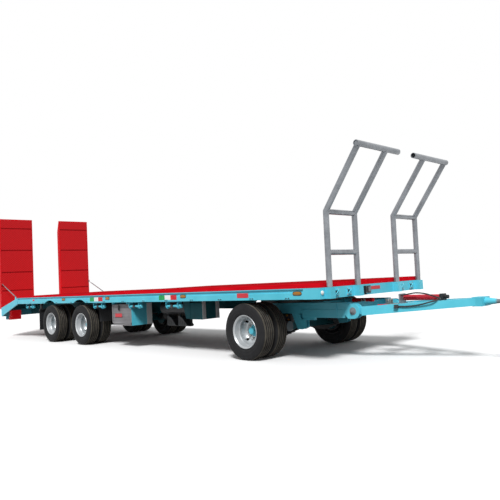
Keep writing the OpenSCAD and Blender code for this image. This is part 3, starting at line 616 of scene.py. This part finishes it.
def twin_rims():
    rim = dished_rim()
    # The inner rim is black as painted shade: it lies in the shadow between the twin tyres.
    inner = coated(copy_of(rim, "inner_rim_black_as_painted_shade", mirror_y=True), black_paint)
    valve = coated(rod("valve", (0, 0.05, 0.196), (0, 0.17, 0.188), 0.005, 10), plated)
    return join([rim, inner, valve] + wheel_hub() + brake_drum(), "twin_rims")


def wheels():
    tyres, rims = twin_tyres(), twin_rims()
    for axle in AXLES:
        for side, sign in SIDES.items():
            end = f"{axle}_{side}"
            low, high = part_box(f"tyres_{end}")
            for model, kind, slot in ((tyres, "tyres", "tyre"), (rims, "wheel", "wheel_silver")):
                copy = copy_of(model, f"{kind}_{end}_twin", (low + high) / 2, mirror_y=sign < 0)
                dress(copy, None, f"wheels_{end}", [f"{kind}_{end}"])
    for model in (tyres, rims):
        bpy.data.objects.remove(model)


wheels()


# Ramps: expanded sheet in panels, with darker strips of painted shade in the joints between them

def ramp_panels(side):
    low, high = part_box(f"ramp_{side}")
    back = TAIL_X - 0.012
    face, proud = back + 0.002, 0.004
    margin, line, foot = 0.022, 0.03, 0.08
    y0, y1 = low.y + margin, high.y - margin
    tops = [high.z - drop for drop in (margin, 0.26, 0.83, 1.40, 1.87, 2.4)]
    panels, joints = [], []
    for top, bottom in zip(tops, tops[1:]):
        bottom = max(bottom, low.z + foot)
        joints.append(block("joint", (back, y0, bottom), (face + 0.0006, y1, bottom + line), 0.0004))
        panels.append(block("panel", (back, y0, bottom + line), (face + proud, y1, top), 0.0015))
    dress(join(panels, f"ramp_{side}_sheet"), ramp_sheet, f"ramp_{side}_body")
    # The joint strips are painted shade in the gaps between panels.
    dress(join(joints, f"ramp_{side}_joints"), painted_shade_red_joint, f"ramp_{side}_body")


for side in SIDES:
    ramp_panels(side)


# Deck boards, worn and darkened as painted shade on their upper faces, and cleats across the tail

def deck_boards(node, boards=12):
    low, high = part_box(node)
    gap, end_gap, facing_up = 0.005, 0.002, 0.9
    width = (high.y - low.y + gap) / boards
    rows = [block("board", (low.x + end_gap, low.y + i * width, low.z),
                  (high.x - end_gap, low.y + (i + 1) * width - gap, high.z), 0.004) for i in range(boards)]
    deck = dress(join(rows, f"{node}_boards"), deck_board, "chassis", [node])
    # Upper faces get the darker board: wear and painted shade.
    deck.data.materials.append(worn_board_with_painted_shade)
    for face in deck.data.polygons:
        face.material_index = int(face.normal.z > facing_up)


deck_boards("deck_front")
deck_boards("deck_rear")


def tail_cleats():
    low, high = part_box("deck_tail")
    sheet, half, tall, margin, count = 0.03, 0.015, 0.012, 0.03, 7
    long, rise = high.x - low.x, high.z - low.z - sheet
    slope = math.atan2(rise, long)
    bars = []
    for i in range(count):
        share = (i + 0.6) / (count + 0.2)
        bar = block("cleat", (-half, low.y + margin, 0), (half, high.y - margin, tall), 0.003)
        place = Matrix.Translation((low.x + share * long, 0, low.z + sheet + share * rise))
        bar.data.transform(place @ Matrix.Rotation(-slope, 4, "Y"))
        bars.append(bar)
    dress(join(bars, "tail_cleats"), red_paint, "chassis")


tail_cleats()


# Strap winches under the rails: modelled once about their own middle, with X along the rail

WINCHES = (-1.670, -2.784, -4.050, -7.205)
WINCH_HALF_W = 0.045


def ratchet_wheel(x, z, radius, teeth=14):
    """Toothed disc on the drum's axis."""
    half, root = 0.007, 0.86
    disc = rod("ratchet", (x - half, 0, z), (x + half, 0, z), radius, teeth * 2, 0.001)
    for corner in disc.data.vertices:
        across = Vector((0, corner.co.y, corner.co.z - z))
        turn = math.atan2(across.z, across.y) / math.tau * teeth
        if across.length > radius * 0.9 and turn % 1.0 < 0.4:
            corner.co.y *= root
            corner.co.z = z + across.z * root
    return disc


def strap_winch():
    half, plate, cheek = 0.160, 0.008, 0.044
    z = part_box("strap_winches")[0].z - RAIL_BOT + 0.045
    steel = []
    for x0, x1 in ((-half, plate - half), (half - plate, half)):
        steel += [block("cheek", (x0, -cheek, -0.05), (x1, cheek, 0), 0.002),
                  rod("cheek_round", (x0, 0, z), (x1, 0, z), cheek, 32, 0.002),
                  block("cheek_web", (x0, -cheek, z), (x1, cheek, -0.04), 0.002)]
    steel += [block("top_plate", (-half, -WINCH_HALF_W, -plate), (half, WINCH_HALF_W, 0), 0.002),
              rod("bar_head", (half, 0, z), (half + 0.052, 0, z), 0.032, 32, 0.003),
              rod("drum", (-half, 0, z), (half, 0, z), 0.022, 32),
              ratchet_wheel(half - 0.022, z, 0.046),
              block("pawl", (half - 0.03, -0.012, z + 0.04), (half - 0.014, 0.03, z + 0.056), 0.003)]
    head_x, mouth, depth = half + 0.03, 0.0335, 0.030
    # The bar holes are black rods: painted shade inside the holes.
    holes = [rod("bar_hole", (head_x, a * mouth, z + b * mouth), (head_x, a * depth, z + b * depth), 0.010, 16)
             for a, b in ((1, 0), (-1, 0), (0, 1), (0, -1))]
    profile = [(0.0, -0.028), (0.036, -0.028), (0.036, 0.028), (0.0, 0.028)]
    strap = spun("strap", profile, (-0.02, 0, z), steps=40, swing=90)
    return join([coated(join(steel, "steel"), teal_paint), coated(strap, black_hose),
                 coated(join(holes, "bar_holes"), black_plastic)], "strap_winch")


def strap_winch_rows():
    model = strap_winch()
    for side, sign in SIDES.items():
        y = sign * (WEB_Y - WINCH_HALF_W)
        row = [copy_of(model, "winch", (AXLE_X + x, y, RAIL_BOT), mirror_y=sign < 0) for x in WINCHES]
        dress(join(row, f"winch_row_{side}"), None, "chassis",
              ["strap_winches"] if sign < 0 else ())
    bpy.data.objects.remove(model)


strap_winch_rows()


# Fittings on the rails: face below the groove, three-colour film, blank plates, lashing slots, lamp rims

FACE_Y = HALF_W - 0.002
GROOVE_LOW = 0.052
CORNER_LEN = 0.27
ARCH_R = 0.51
FILMS = (-4.29, -1.98)
FILM_LEN, FILM_LOW, FILM_HIGH = 0.48, 0.868, 0.945
PLATE = (-0.09, 0.14, 0.876, 0.941)
LASHINGS = tuple(0.86 - 0.66 * i for i in range(13))
MARKERS = (1.030, -1.330, -3.630, -5.410)
MARKER_Z = RAIL_TOP - 0.062


def rail_face(sign):
    """Rolled face of a rail: it leaves a dark groove under the lip and is cut away over the wheels."""
    face = block("rail_face", (KINK_X + 0.004, sign * (WEB_Y - 0.001), RAIL_BOT),
                 (BED_FRONT - CORNER_LEN, sign * FACE_Y, RAIL_TOP - GROOVE_LOW), 0.004)
    for axle in ("mid", "rear"):
        low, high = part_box(f"tyres_{axle}_right")
        x, _, z = (low + high) / 2
        cut_away(face, rod("arch", (x, sign * 1.1, z), (x, sign * 1.3, z), ARCH_R, 96))
    dress(face, teal_paint, "chassis")


def rail_skin(name, sign, x0, x1, z0, z1, proud=0.0015, edge=0.0006):
    """Thin plate on a rail's face."""
    return block(name, (AXLE_X + x0, sign * (FACE_Y - 0.001), z0),
                 (AXLE_X + x1, sign * (FACE_Y + proud), z1), edge)


def rail_films(side, sign):
    third = FILM_LEN / 3
    for k, (finish, name) in enumerate(((green_film, "green"), (white_film, "white"), (red_film, "red"))):
        parts = [rail_skin("film", sign, x + k * third, x + (k + 1) * third, FILM_LOW, FILM_HIGH)
                 for x in FILMS]
        dress(join(parts, f"{name}_film_{side}"), finish, "chassis")


def plated_heads(places, out):
    """Small round heads of rivets or screws, each from its place outwards."""
    heads = [rod("head", place, Vector(place) + Vector(out), 0.004, 12, 0.001) for place in places]
    return coated(join(heads, "heads"), plated)


def rail_plate(side, sign):
    x0, x1, z0, z1 = PLATE
    inset = 0.01
    plate = coated(rail_skin("plate", sign, x0, x1, z0, z1, 0.003, 0.001), plate_red)
    rivets = plated_heads([(AXLE_X + x, sign * FACE_Y, z) for x in (x0 + inset, x1 - inset)
                           for z in (z0 + inset, z1 - inset)], (0, sign * 0.005, 0))
    dress(join([plate, rivets], f"rail_plate_{side}"), None, "chassis")


def lashing_slots(side, sign):
    """Pressed eyelets low on the web, each with a pair of slots drawn as black blocks, painted shade for the
    openings.
    """
    rims, slots = [], []
    z = RAIL_BOT + 0.021
    long, tall = 0.045, 0.014
    apart, slot_long, slot_tall = 0.022, 0.015, 0.006
    for x in LASHINGS:
        rims.append(rail_skin("eyelet", sign, x - long, x + long, z - tall, z + tall, 0.004, 0.0025))
        for middle in (x - apart, x + apart):
            slots.append(rail_skin("slot", sign, middle - slot_long, middle + slot_long, z - slot_tall,
                                   z + slot_tall, 0.0052, 0.001))
    rims = coated(join(rims, "eyelets"), teal_paint)
    # The slots are black blocks: painted shade where the openings are.
    slots = coated(join(slots, "slots"), black_plastic)
    dress(join([rims, slots], f"lashing_slots_{side}"), None, "chassis")


def marker_rims(side, sign):
    """Moulded rims round the amber markers, and a domed lens in each."""
    z = MARKER_Z
    half, r, proud = 0.05, 0.022, 0.004
    rim = r + 0.005
    dome_r = 0.0175
    profile = [(0.0, 0.0055), (0.008, 0.005), (0.014, 0.0035), (dome_r, 0.0), (dome_r, -0.003)]
    parts = []
    for x in MARKERS:
        bezel = [rod("bezel", (AXLE_X + end, sign * (FACE_Y + 0.0005), z),
                     (AXLE_X + end, sign * (FACE_Y + proud), z), rim, 32, 0.002)
                 for end in (x - half, x + half)]
        bezel.append(rail_skin("bezel", sign, x - half, x + half, z - rim, z + rim, proud, 0.002))
        dome = spun("dome", profile, steps=32)
        dome.data.transform(Matrix.Diagonal(((half + r) / dome_r, 1, r / dome_r, 1)))
        dome.data.transform(Matrix.Translation((AXLE_X + x, HALF_W + 0.002, z)))
        if sign < 0:
            swap_side(dome)
        parts += [coated(join(bezel, "bezel"), black_plastic), coated(dome, amber_lens)]
    dress(join(parts, f"marker_lenses_{side}"), None, "chassis")


def white_marker(side, sign):
    """Round white lamp on the front corner."""
    seat = Vector((BED_FRONT, sign * (HALF_W - 0.04), MARKER_Z))
    rim = rod("rim", seat, seat + Vector((0.012, 0, 0)), 0.027, 36, 0.003)
    profile = [(0.0, 0.02), (0.009, 0.019), (0.016, 0.0165), (0.021, 0.012), (0.022, 0.006)]
    dome = spun("dome", profile, seat, steps=32, swing=-90)
    dress(join([coated(rim, white_film), coated(dome, white_lens)], f"white_marker_{side}"), None, "chassis")


for side, sign in SIDES.items():
    rail_face(sign)
    rail_films(side, sign)
    rail_plate(side, sign)
    lashing_slots(side, sign)
    marker_rims(side, sign)
    white_marker(side, sign)


# Front beam: pads with their bolts, blank plate, junction box cover

PADS = (0.6575, 0.9275)
FRONT_PLATE = (-0.147, 0.097, 0.904, 0.951)


def bolt(a, b, radius):
    """Hexagon head with its washer, from its seat outwards."""
    washer = rod("washer", a, a + (b - a) * 0.25, radius * 1.35, 24, 0.0006)
    return join([washer, rod("bolt_head", a, b, radius, 6, 0.001)], "bolt")


def beam_pads():
    """Locking pads between the ladder sockets: a slotted plate with a black block of painted shade in its
    slot, a lever and four bolts each.
    """
    x, z = BED_FRONT + 0.012, RAIL_BOT + 0.07
    back, proud = x - 0.001, x + 0.014
    half, rim_in, rim_out, bolt_at = 0.032, 0.022, 0.034, 0.037
    teal, dark, bolts = [], [], []
    for y in [sign * pad for sign in SIDES.values() for pad in PADS]:
        for z0, z1 in ((z - rim_out, z - rim_in), (z + rim_in, z + rim_out)):
            teal.append(block("pad_rim", (back, y - half, z0), (proud, y + half, z1), 0.003))
        teal.append(rod("lever", (x + 0.012, y - 0.03, z - 0.026), (x + 0.018, y + 0.028, z + 0.03),
                        0.007, 16, 0.002))
        # The slot is a black block: painted shade in the opening.
        dark.append(block("pad_slot", (back, y - 0.024, z - 0.02), (x + 0.002, y + 0.024, z + 0.02), 0.001))
        for dy, dz in ((-1, -1), (-1, 1), (1, -1), (1, 1)):
            seat = Vector((x, y + dy * bolt_at, z + dz * bolt_at))
            bolts.append(bolt(seat, seat + Vector((0.009, 0, 0)), 0.0075))
    dress(join(teal, "beam_pads"), teal_paint, "chassis")
    dress(join(dark, "pad_slots"), black_plastic, "chassis")
    dress(join(bolts, "pad_bolts"), plated, "chassis")


def front_plate():
    y0, y1, z0, z1 = FRONT_PLATE
    inset = 0.01
    plate = block("plate", (BED_FRONT - 0.001, y0, z0), (BED_FRONT + 0.003, y1, z1), 0.001)
    rivets = plated_heads([(BED_FRONT + 0.002, y, z) for y in (y0 + inset, y1 - inset)
                           for z in (z0 + inset, z1 - inset)], (0.004, 0, 0))
    dress(join([coated(plate, plate_red), rivets], "front_plate"), None, "chassis")


def junction_cover():
    """Lid of the junction box with its screws, cable gland and socket flap."""
    low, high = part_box("junction_box")
    x, lap, inset = high.x, 0.002, 0.008
    lid = block("lid", (x, low.y - lap, low.z - lap), (x + 0.008, high.y + lap, high.z + lap), 0.003)
    foot = Vector((x - 0.025, low.y + 0.03, low.z))
    gland = rod("gland", foot - Vector((0, 0, 0.024)), foot, 0.012, 6, 0.002)
    flap = block("flap", (x + 0.007, low.y + 0.056, low.z + 0.014), (x + 0.02, high.y - 0.012, high.z - 0.014),
                 0.004)
    screws = plated_heads([(x + 0.007, y, z) for y in (low.y + inset, high.y - inset)
                           for z in (low.z + inset, high.z - inset)], (0.004, 0, 0))
    lid = coated(join([lid, gland], "lid"), black_plastic)
    dress(join([lid, coated(flap, chamber_grey), screws], "junction_cover"), None, "chassis")


beam_pads()
front_plate()
junction_cover()


# Toolbox and locker: ribbed door with its latch and blank plate, guard plates and pale edges

def toolbox_door():
    low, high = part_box("toolbox_lid")
    long, tall = high.x - low.x, high.z - low.z
    out, back = low.y, low.y + 0.001
    foot, bar, margin, count = low.z + 0.035, 0.022, 0.03, 13
    pitch = (high.z - foot) / count
    ribs = []
    for i in range(count):
        z = foot + pitch * (i + 0.5)
        ribs.append(block("rib", (low.x + margin, out - 0.004, z - 0.006), (high.x - margin, back, z + 0.006),
                          0.002))
    for z in (foot, high.z - bar):
        ribs.append(block("edge", (low.x, out - 0.006, z), (high.x, back, z + bar), 0.003))
    for x in (low.x, high.x - bar):
        ribs.append(block("edge", (x, out - 0.006, foot), (x + bar, back, high.z), 0.003))
    dress(join(ribs, "toolbox_door_ribs"), grey_plastic, "lid")
    x, z = low.x + 0.38 * long, high.z - 0.16 * tall
    latch = spun("latch", [(0.0, 0.02), (0.03, 0.02), (0.04, 0.016), (0.044, 0.008), (0.044, 0.0)], steps=40)
    latch.data.transform(Matrix.Translation((x, out, z)) @ Matrix.Diagonal((0.72, -1, 1.25, 1)))
    latch.data.flip_normals()
    grip = block("grip", (x - 0.011, out - 0.03, z - 0.036), (x + 0.011, out - 0.016, z + 0.036), 0.004)
    dress(join([latch, grip], "toolbox_latch"), black_plastic, "lid")
    plate = block("toolbox_plate", (low.x + 0.17 * long, out - 0.008, low.z + 0.4 * tall),
                  (low.x + 0.52 * long, out - 0.003, low.z + 0.57 * tall), 0.001)
    dress(plate, plate_red, "lid")


def box_guard(node, name, edge_share, paint):
    """Painted plate on a box's front side, between pale moulded edges where these have room."""
    low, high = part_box(node)
    wide = high.y - low.y
    top, back, least = min(high.z, RAIL_BOT) - 0.004, high.x - 0.001, 0.03
    near, far = low.y + edge_share[0] * wide, high.y - edge_share[1] * wide
    guard = block("guard", (back, near, low.z + 0.002), (high.x + 0.006, far, top), 0.002)
    strips = [block("strip", (back, y0, low.z), (high.x + 0.01, y1, top), 0.004)
              for y0, y1 in ((low.y, near), (far, high.y)) if y1 - y0 > least]
    strips = coated(join(strips, "strips"), pale_strip)
    dress(join([coated(guard, paint), strips], name), None, "chassis")


def locker_side():
    """Outer plate of the locker that runs on towards the air tank, its lower rear corner cut back."""
    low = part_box("side_locker")[0]
    reach, lap, cut, half = 0.15, 0.02, 0.06, 0.004
    foot = low.z + 0.01
    plate = block("locker_side", (low.x - reach, low.y - half, foot), (low.x + lap, low.y + half, RAIL_BOT), 0)
    bisected(plate, (low.x - reach + cut, 0, foot), (-1, 0, -0.3))
    # The locker plate takes the darker teal of painted shade.
    dress(bevel(plate, 0.0015), painted_shade_teal, "chassis")


toolbox_door()
box_guard("toolbox_body", "toolbox_guard", (0.0, 0.26), teal_paint)
# The locker's guard takes the darker teal of painted shade.
box_guard("side_locker", "locker_guard", (0.2, 0.22), painted_shade_teal)
locker_side()


# Wheel chocks in their rack under the right air tank, and spray flaps before the tandem

def chock():
    """Moulded wedge with a curved face and ribs across it, about the origin with X along."""
    long, wide, tall = 0.27, 0.15, 0.17
    body = block("chock", (-long / 2, -wide / 2, 0), (long / 2, wide / 2, tall), 0)
    for share, lean in ((0.1, 1.5), (0.24, 0.9), (0.42, 0.5)):
        bisected(body, (long * (share - 0.2), 0, tall * (1 - share)), (lean, 0, 1))
    pieces = [bevel(body, 0.006)]
    half, pitch, thick = wide / 2 + 0.005, 0.05, 0.014
    for i in range(4):
        x = -long * 0.45 + pitch * i
        pieces.append(block("rib", (x, -half, 0.015), (x + thick, half, tall * (0.8 - 0.15 * i)), 0.004))
    return join(pieces, "chock")


def chock_rack():
    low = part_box("air_tanks")[0]
    y, z = low.y + 0.11, low.z - 0.2
    first, last, thick = low.x + 0.12, low.x + 0.75, 0.008
    model = chock()
    chocks = [copy_of(model, "chock", (low.x + x, y, z)) for x in (0.28, 0.6)]
    bpy.data.objects.remove(model)
    dress(join(chocks, "wheel_chocks"), black_plastic, "chassis")
    bars = [block("rack_floor", (first, y - 0.03, z - thick), (last, y + 0.03, z), 0.002)]
    for x in (first, low.x + 0.435, last - thick):
        bars.append(block("rack_post", (x, y - 0.02, z - thick), (x + thick, y + 0.02, low.z + 0.03), 0.002))
    dress(join(bars, "chock_rack"), black_paint, "chassis")


def spray_flaps():
    """Ribbed rubber sheets that hang from a bar on each main beam."""
    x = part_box("spring_hangers")[1].x + 0.05
    inner, outer = 0.50, 1.10
    top, foot = RAIL_BOT - 0.02, 0.46
    bars, sheets = [], []
    for sign in SIDES.values():
        bars.append(block("bar", (x, sign * inner, top - 0.035), (x + 0.01, sign * outer, top), 0.002))
        sheets.append(block("sheet", (x - 0.008, sign * (inner + 0.08), foot),
                            (x, sign * (outer - 0.01), top - 0.004), 0.002))
        for i in range(9):
            y = inner + 0.12 + 0.05 * i
            sheets.append(block("rib", (x - 0.001, sign * y, foot + 0.015),
                                (x + 0.003, sign * (y + 0.012), top - 0.05), 0.001))
    dress(join(bars, "spray_flap_bars"), black_paint, "chassis")
    dress(join(sheets, "spray_flaps"), black_plastic, "chassis")


chock_rack()
spray_flaps()


# Dolly: skirts and brake valves under the side beams, pin heads, strut over the cross member

DOLLY_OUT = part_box("dolly_frame")[1].y
PIVOT_X, PIVOT_Z = AXLE_X + 1.37, 0.64


def dolly_block(name, sign, x0, x1, y0, y1, z0, z1, edge):
    """Block at a side beam: x is from the front axle, y from the beam's outer face."""
    return block(name, (AXLE_X + x0, sign * (DOLLY_OUT + y0), z0), (AXLE_X + x1, sign * (DOLLY_OUT + y1), z1),
                 edge)


def dolly_round(name, sign, x, z, y0, y1, radius, sides, edge):
    """Round piece across a side beam's outer face; x and z are in the trailer's frame."""
    return rod(name, (x, sign * (DOLLY_OUT + y0), z), (x, sign * (DOLLY_OUT + y1), z), radius, sides, edge)


def dolly_fittings():
    skirts, heads = [], []
    for sign in SIDES.values():
        skirts += [dolly_block("skirt", sign, 0.5, 1.235, -0.012, 0.002, 0.547, 0.66, 0.003),
                   dolly_block("seam", sign, 1.105, 1.117, -0.002, 0.006, 0.55, 0.742, 0.002),
                   dolly_block("spring_seat", sign, 0.55, 0.72, -0.05, -0.002, 0.512, 0.556, 0.004)]
        heads += [dolly_round("pin_washer", sign, PIVOT_X, PIVOT_Z, -0.001, 0.006, 0.05, 40, 0.002),
                  dolly_round("pin_nut", sign, PIVOT_X, PIVOT_Z, 0.005, 0.024, 0.032, 6, 0.003),
                  dolly_round("pin_end", sign, PIVOT_X, PIVOT_Z, 0.02, 0.034, 0.017, 20, 0.002)]
    dress(join(skirts, "dolly_skirts"), teal_paint, "dolly")
    dress(join(heads, "dolly_pin_heads"), chamber_grey, "dolly")


def dolly_valves():
    """Black brake valves under the side beams, with a coloured cap on each port."""
    boxes, caps = [], []
    for sign in SIDES.values():
        boxes.append(dolly_block("valve", sign, 0.06, 0.29, -0.06, 0.004, 0.47, 0.602, 0.008))
        x, y = AXLE_X + 0.22, sign * (DOLLY_OUT - 0.03)
        boxes.append(rod("valve_dome", (x, y, 0.43), (x, y, 0.475), 0.05, 32, 0.008))
        for x, z in ((0.215, 0.575), (0.245, 0.515)):
            caps.append(dolly_round("cap", sign, AXLE_X + x, z, 0.002, 0.016, 0.015, 20, 0.003))
    dress(join(boxes, "dolly_valves"), black_plastic, "dolly")
    dress(join(caps, "dolly_valve_caps"), amber_lens, "dolly")


def strut_tail():
    """Red spring tube on the dolly that points at the drawbar's strut, in two saddles."""
    x0, z, long = AXLE_X + 1.0, 0.757, 0.345
    tube = spun("strut_tail", [
        (0.0, 0.0), (0.024, 0.0), (0.028, 0.006), (0.028, 0.05), (0.026, 0.052), (0.026, 0.28), (0.028, 0.282),
        (0.028, long - 0.006), (0.022, long), (0.0, long)], (x0, 0, z), steps=36, swing=-90)
    dress(tube, red_paint, "dolly")
    half, thick = 0.034, 0.026
    saddles = [block("saddle", (AXLE_X + x, -half, 0.735), (AXLE_X + x + thick, half, 0.765), 0.004)
               for x in (1.158, 1.205)]
    dress(join(saddles, "strut_saddles"), plated, "dolly")


def strut_bracket():
    """Zinc-plated bracket on top of the drawbar's strut: a base, two ears and a cross pin."""
    low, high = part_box("support_strut")
    z, half, inside = high.z, 0.03, 0.022
    ear_x, pin_x = low.x + 0.14, low.x + 0.18
    parts = [block("base", (low.x + 0.13, -half, z - 0.012), (high.x - 0.01, half, z), 0.003)]
    for y0, y1 in ((-half, -inside), (inside, half)):
        parts.append(block("ear", (ear_x, y0, z - 0.004), (ear_x + 0.08, y1, z + 0.062), 0.003))
    parts.append(rod("cross_pin", (pin_x, -0.04, z + 0.04), (pin_x, 0.04, z + 0.04), 0.011, 20, 0.002))
    dress(join(parts, "strut_bracket"), plated, "drawbar")


dolly_fittings()
dolly_valves()
strut_tail()
strut_bracket()


# Tail: lamp fronts, brackets beside them, small red markers before the slope

def tail_fittings():
    low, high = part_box("tail_lamps")
    front, wide, inset = high.x, 0.27, 0.02
    foot, top = low.z, 0.664
    lamps, posts, marks = [], [], []
    for sign in SIDES.values():
        y0, y1 = high.y - wide, high.y
        lamps += [block("lamp_body", (front - 0.012, sign * y0, foot + 0.004), (front + 0.07, sign * y1, top),
                        0.012),
                  block("lamp_rim", (front + 0.066, sign * (y0 + inset), foot + 0.02),
                        (front + 0.076, sign * (y1 - inset), top - 0.016), 0.006)]
        posts.append(block("post", (front - 0.08, sign * (y1 + 0.012), 0.443),
                           (front - 0.02, sign * (y1 + 0.072), 0.56), 0.006))
        marks.append(rail_skin("red_marker", sign, -6.94, -6.85, 0.905, 0.938, 0.007, 0.004))
    # The lamp fronts and the red markers glow a little: painted light, since the lamps are not lit.
    dress(join(lamps, "tail_lamp_fronts"), glowing_red_lens, "chassis")
    dress(join(posts, "tail_lamp_posts"), teal_paint, "chassis")
    dress(join(marks, "red_markers"), glowing_red_lens, "chassis")


tail_fittings()


# Studio: pale floor, soft light, white behind

def shown(tree):
    """1 for a ray that shows the surroundings directly, in gloss or through glass, 0 for other rays."""
    path = add(tree, "LightPath")
    seen = path.outputs["Is Camera Ray"]
    for ray in ("Is Glossy Ray", "Is Transmission Ray"):
        seen = add(tree, "Math", {0: seen, 1: path.outputs[ray]}, operation="MAXIMUM").outputs[0]
    return seen


def studio():
    scene = bpy.context.scene
    scene.view_settings.view_transform = "Standard"
    deselect()
    bpy.ops.mesh.primitive_plane_add(size=160, location=(0, 0, 0))
    floor = bpy.context.object
    floor.name = "floor"
    mat, tree, shader, _ = start("pale_floor", 0.9, gloss=0.0)
    colour = add(tree, "Mix", {0: shown(tree), 6: (0.2, 0.2, 0.2, 1), 7: (0.95, 0.95, 0.95, 1)},
                 data_type="RGBA")
    tree.links.new(colour.outputs[2], shader.inputs["Base Color"])
    coated(floor, mat)

    world = bpy.data.worlds.new("soft_sky")
    scene.world = world
    world.use_nodes = True
    tree = world.node_tree
    background = tree.nodes["Background"]
    height = add(tree, "SeparateXYZ", {0: add(tree, "TexCoord").outputs["Generated"]})
    sky = add(tree, "MapRange", {0: height.outputs["Z"], 1: 0.0, 2: 1.0, 3: 0.42, 4: 0.52})
    add(tree, "Mix", {0: shown(tree), 2: sky.outputs[0], 3: 1.0}, to=background.inputs["Strength"],
        data_type="FLOAT")
    background.inputs["Color"].default_value = (1, 1, 1, 1)

    lamp = bpy.data.lights.new("soft_sun", "SUN")
    lamp.energy = 3.2
    lamp.angle = math.radians(14)
    sun = bpy.data.objects.new("soft_sun", lamp)
    scene.collection.objects.link(sun)
    sun.rotation_euler = Vector((-0.44, 0.54, -0.72)).to_track_quat("-Z", "Y").to_euler()


studio()
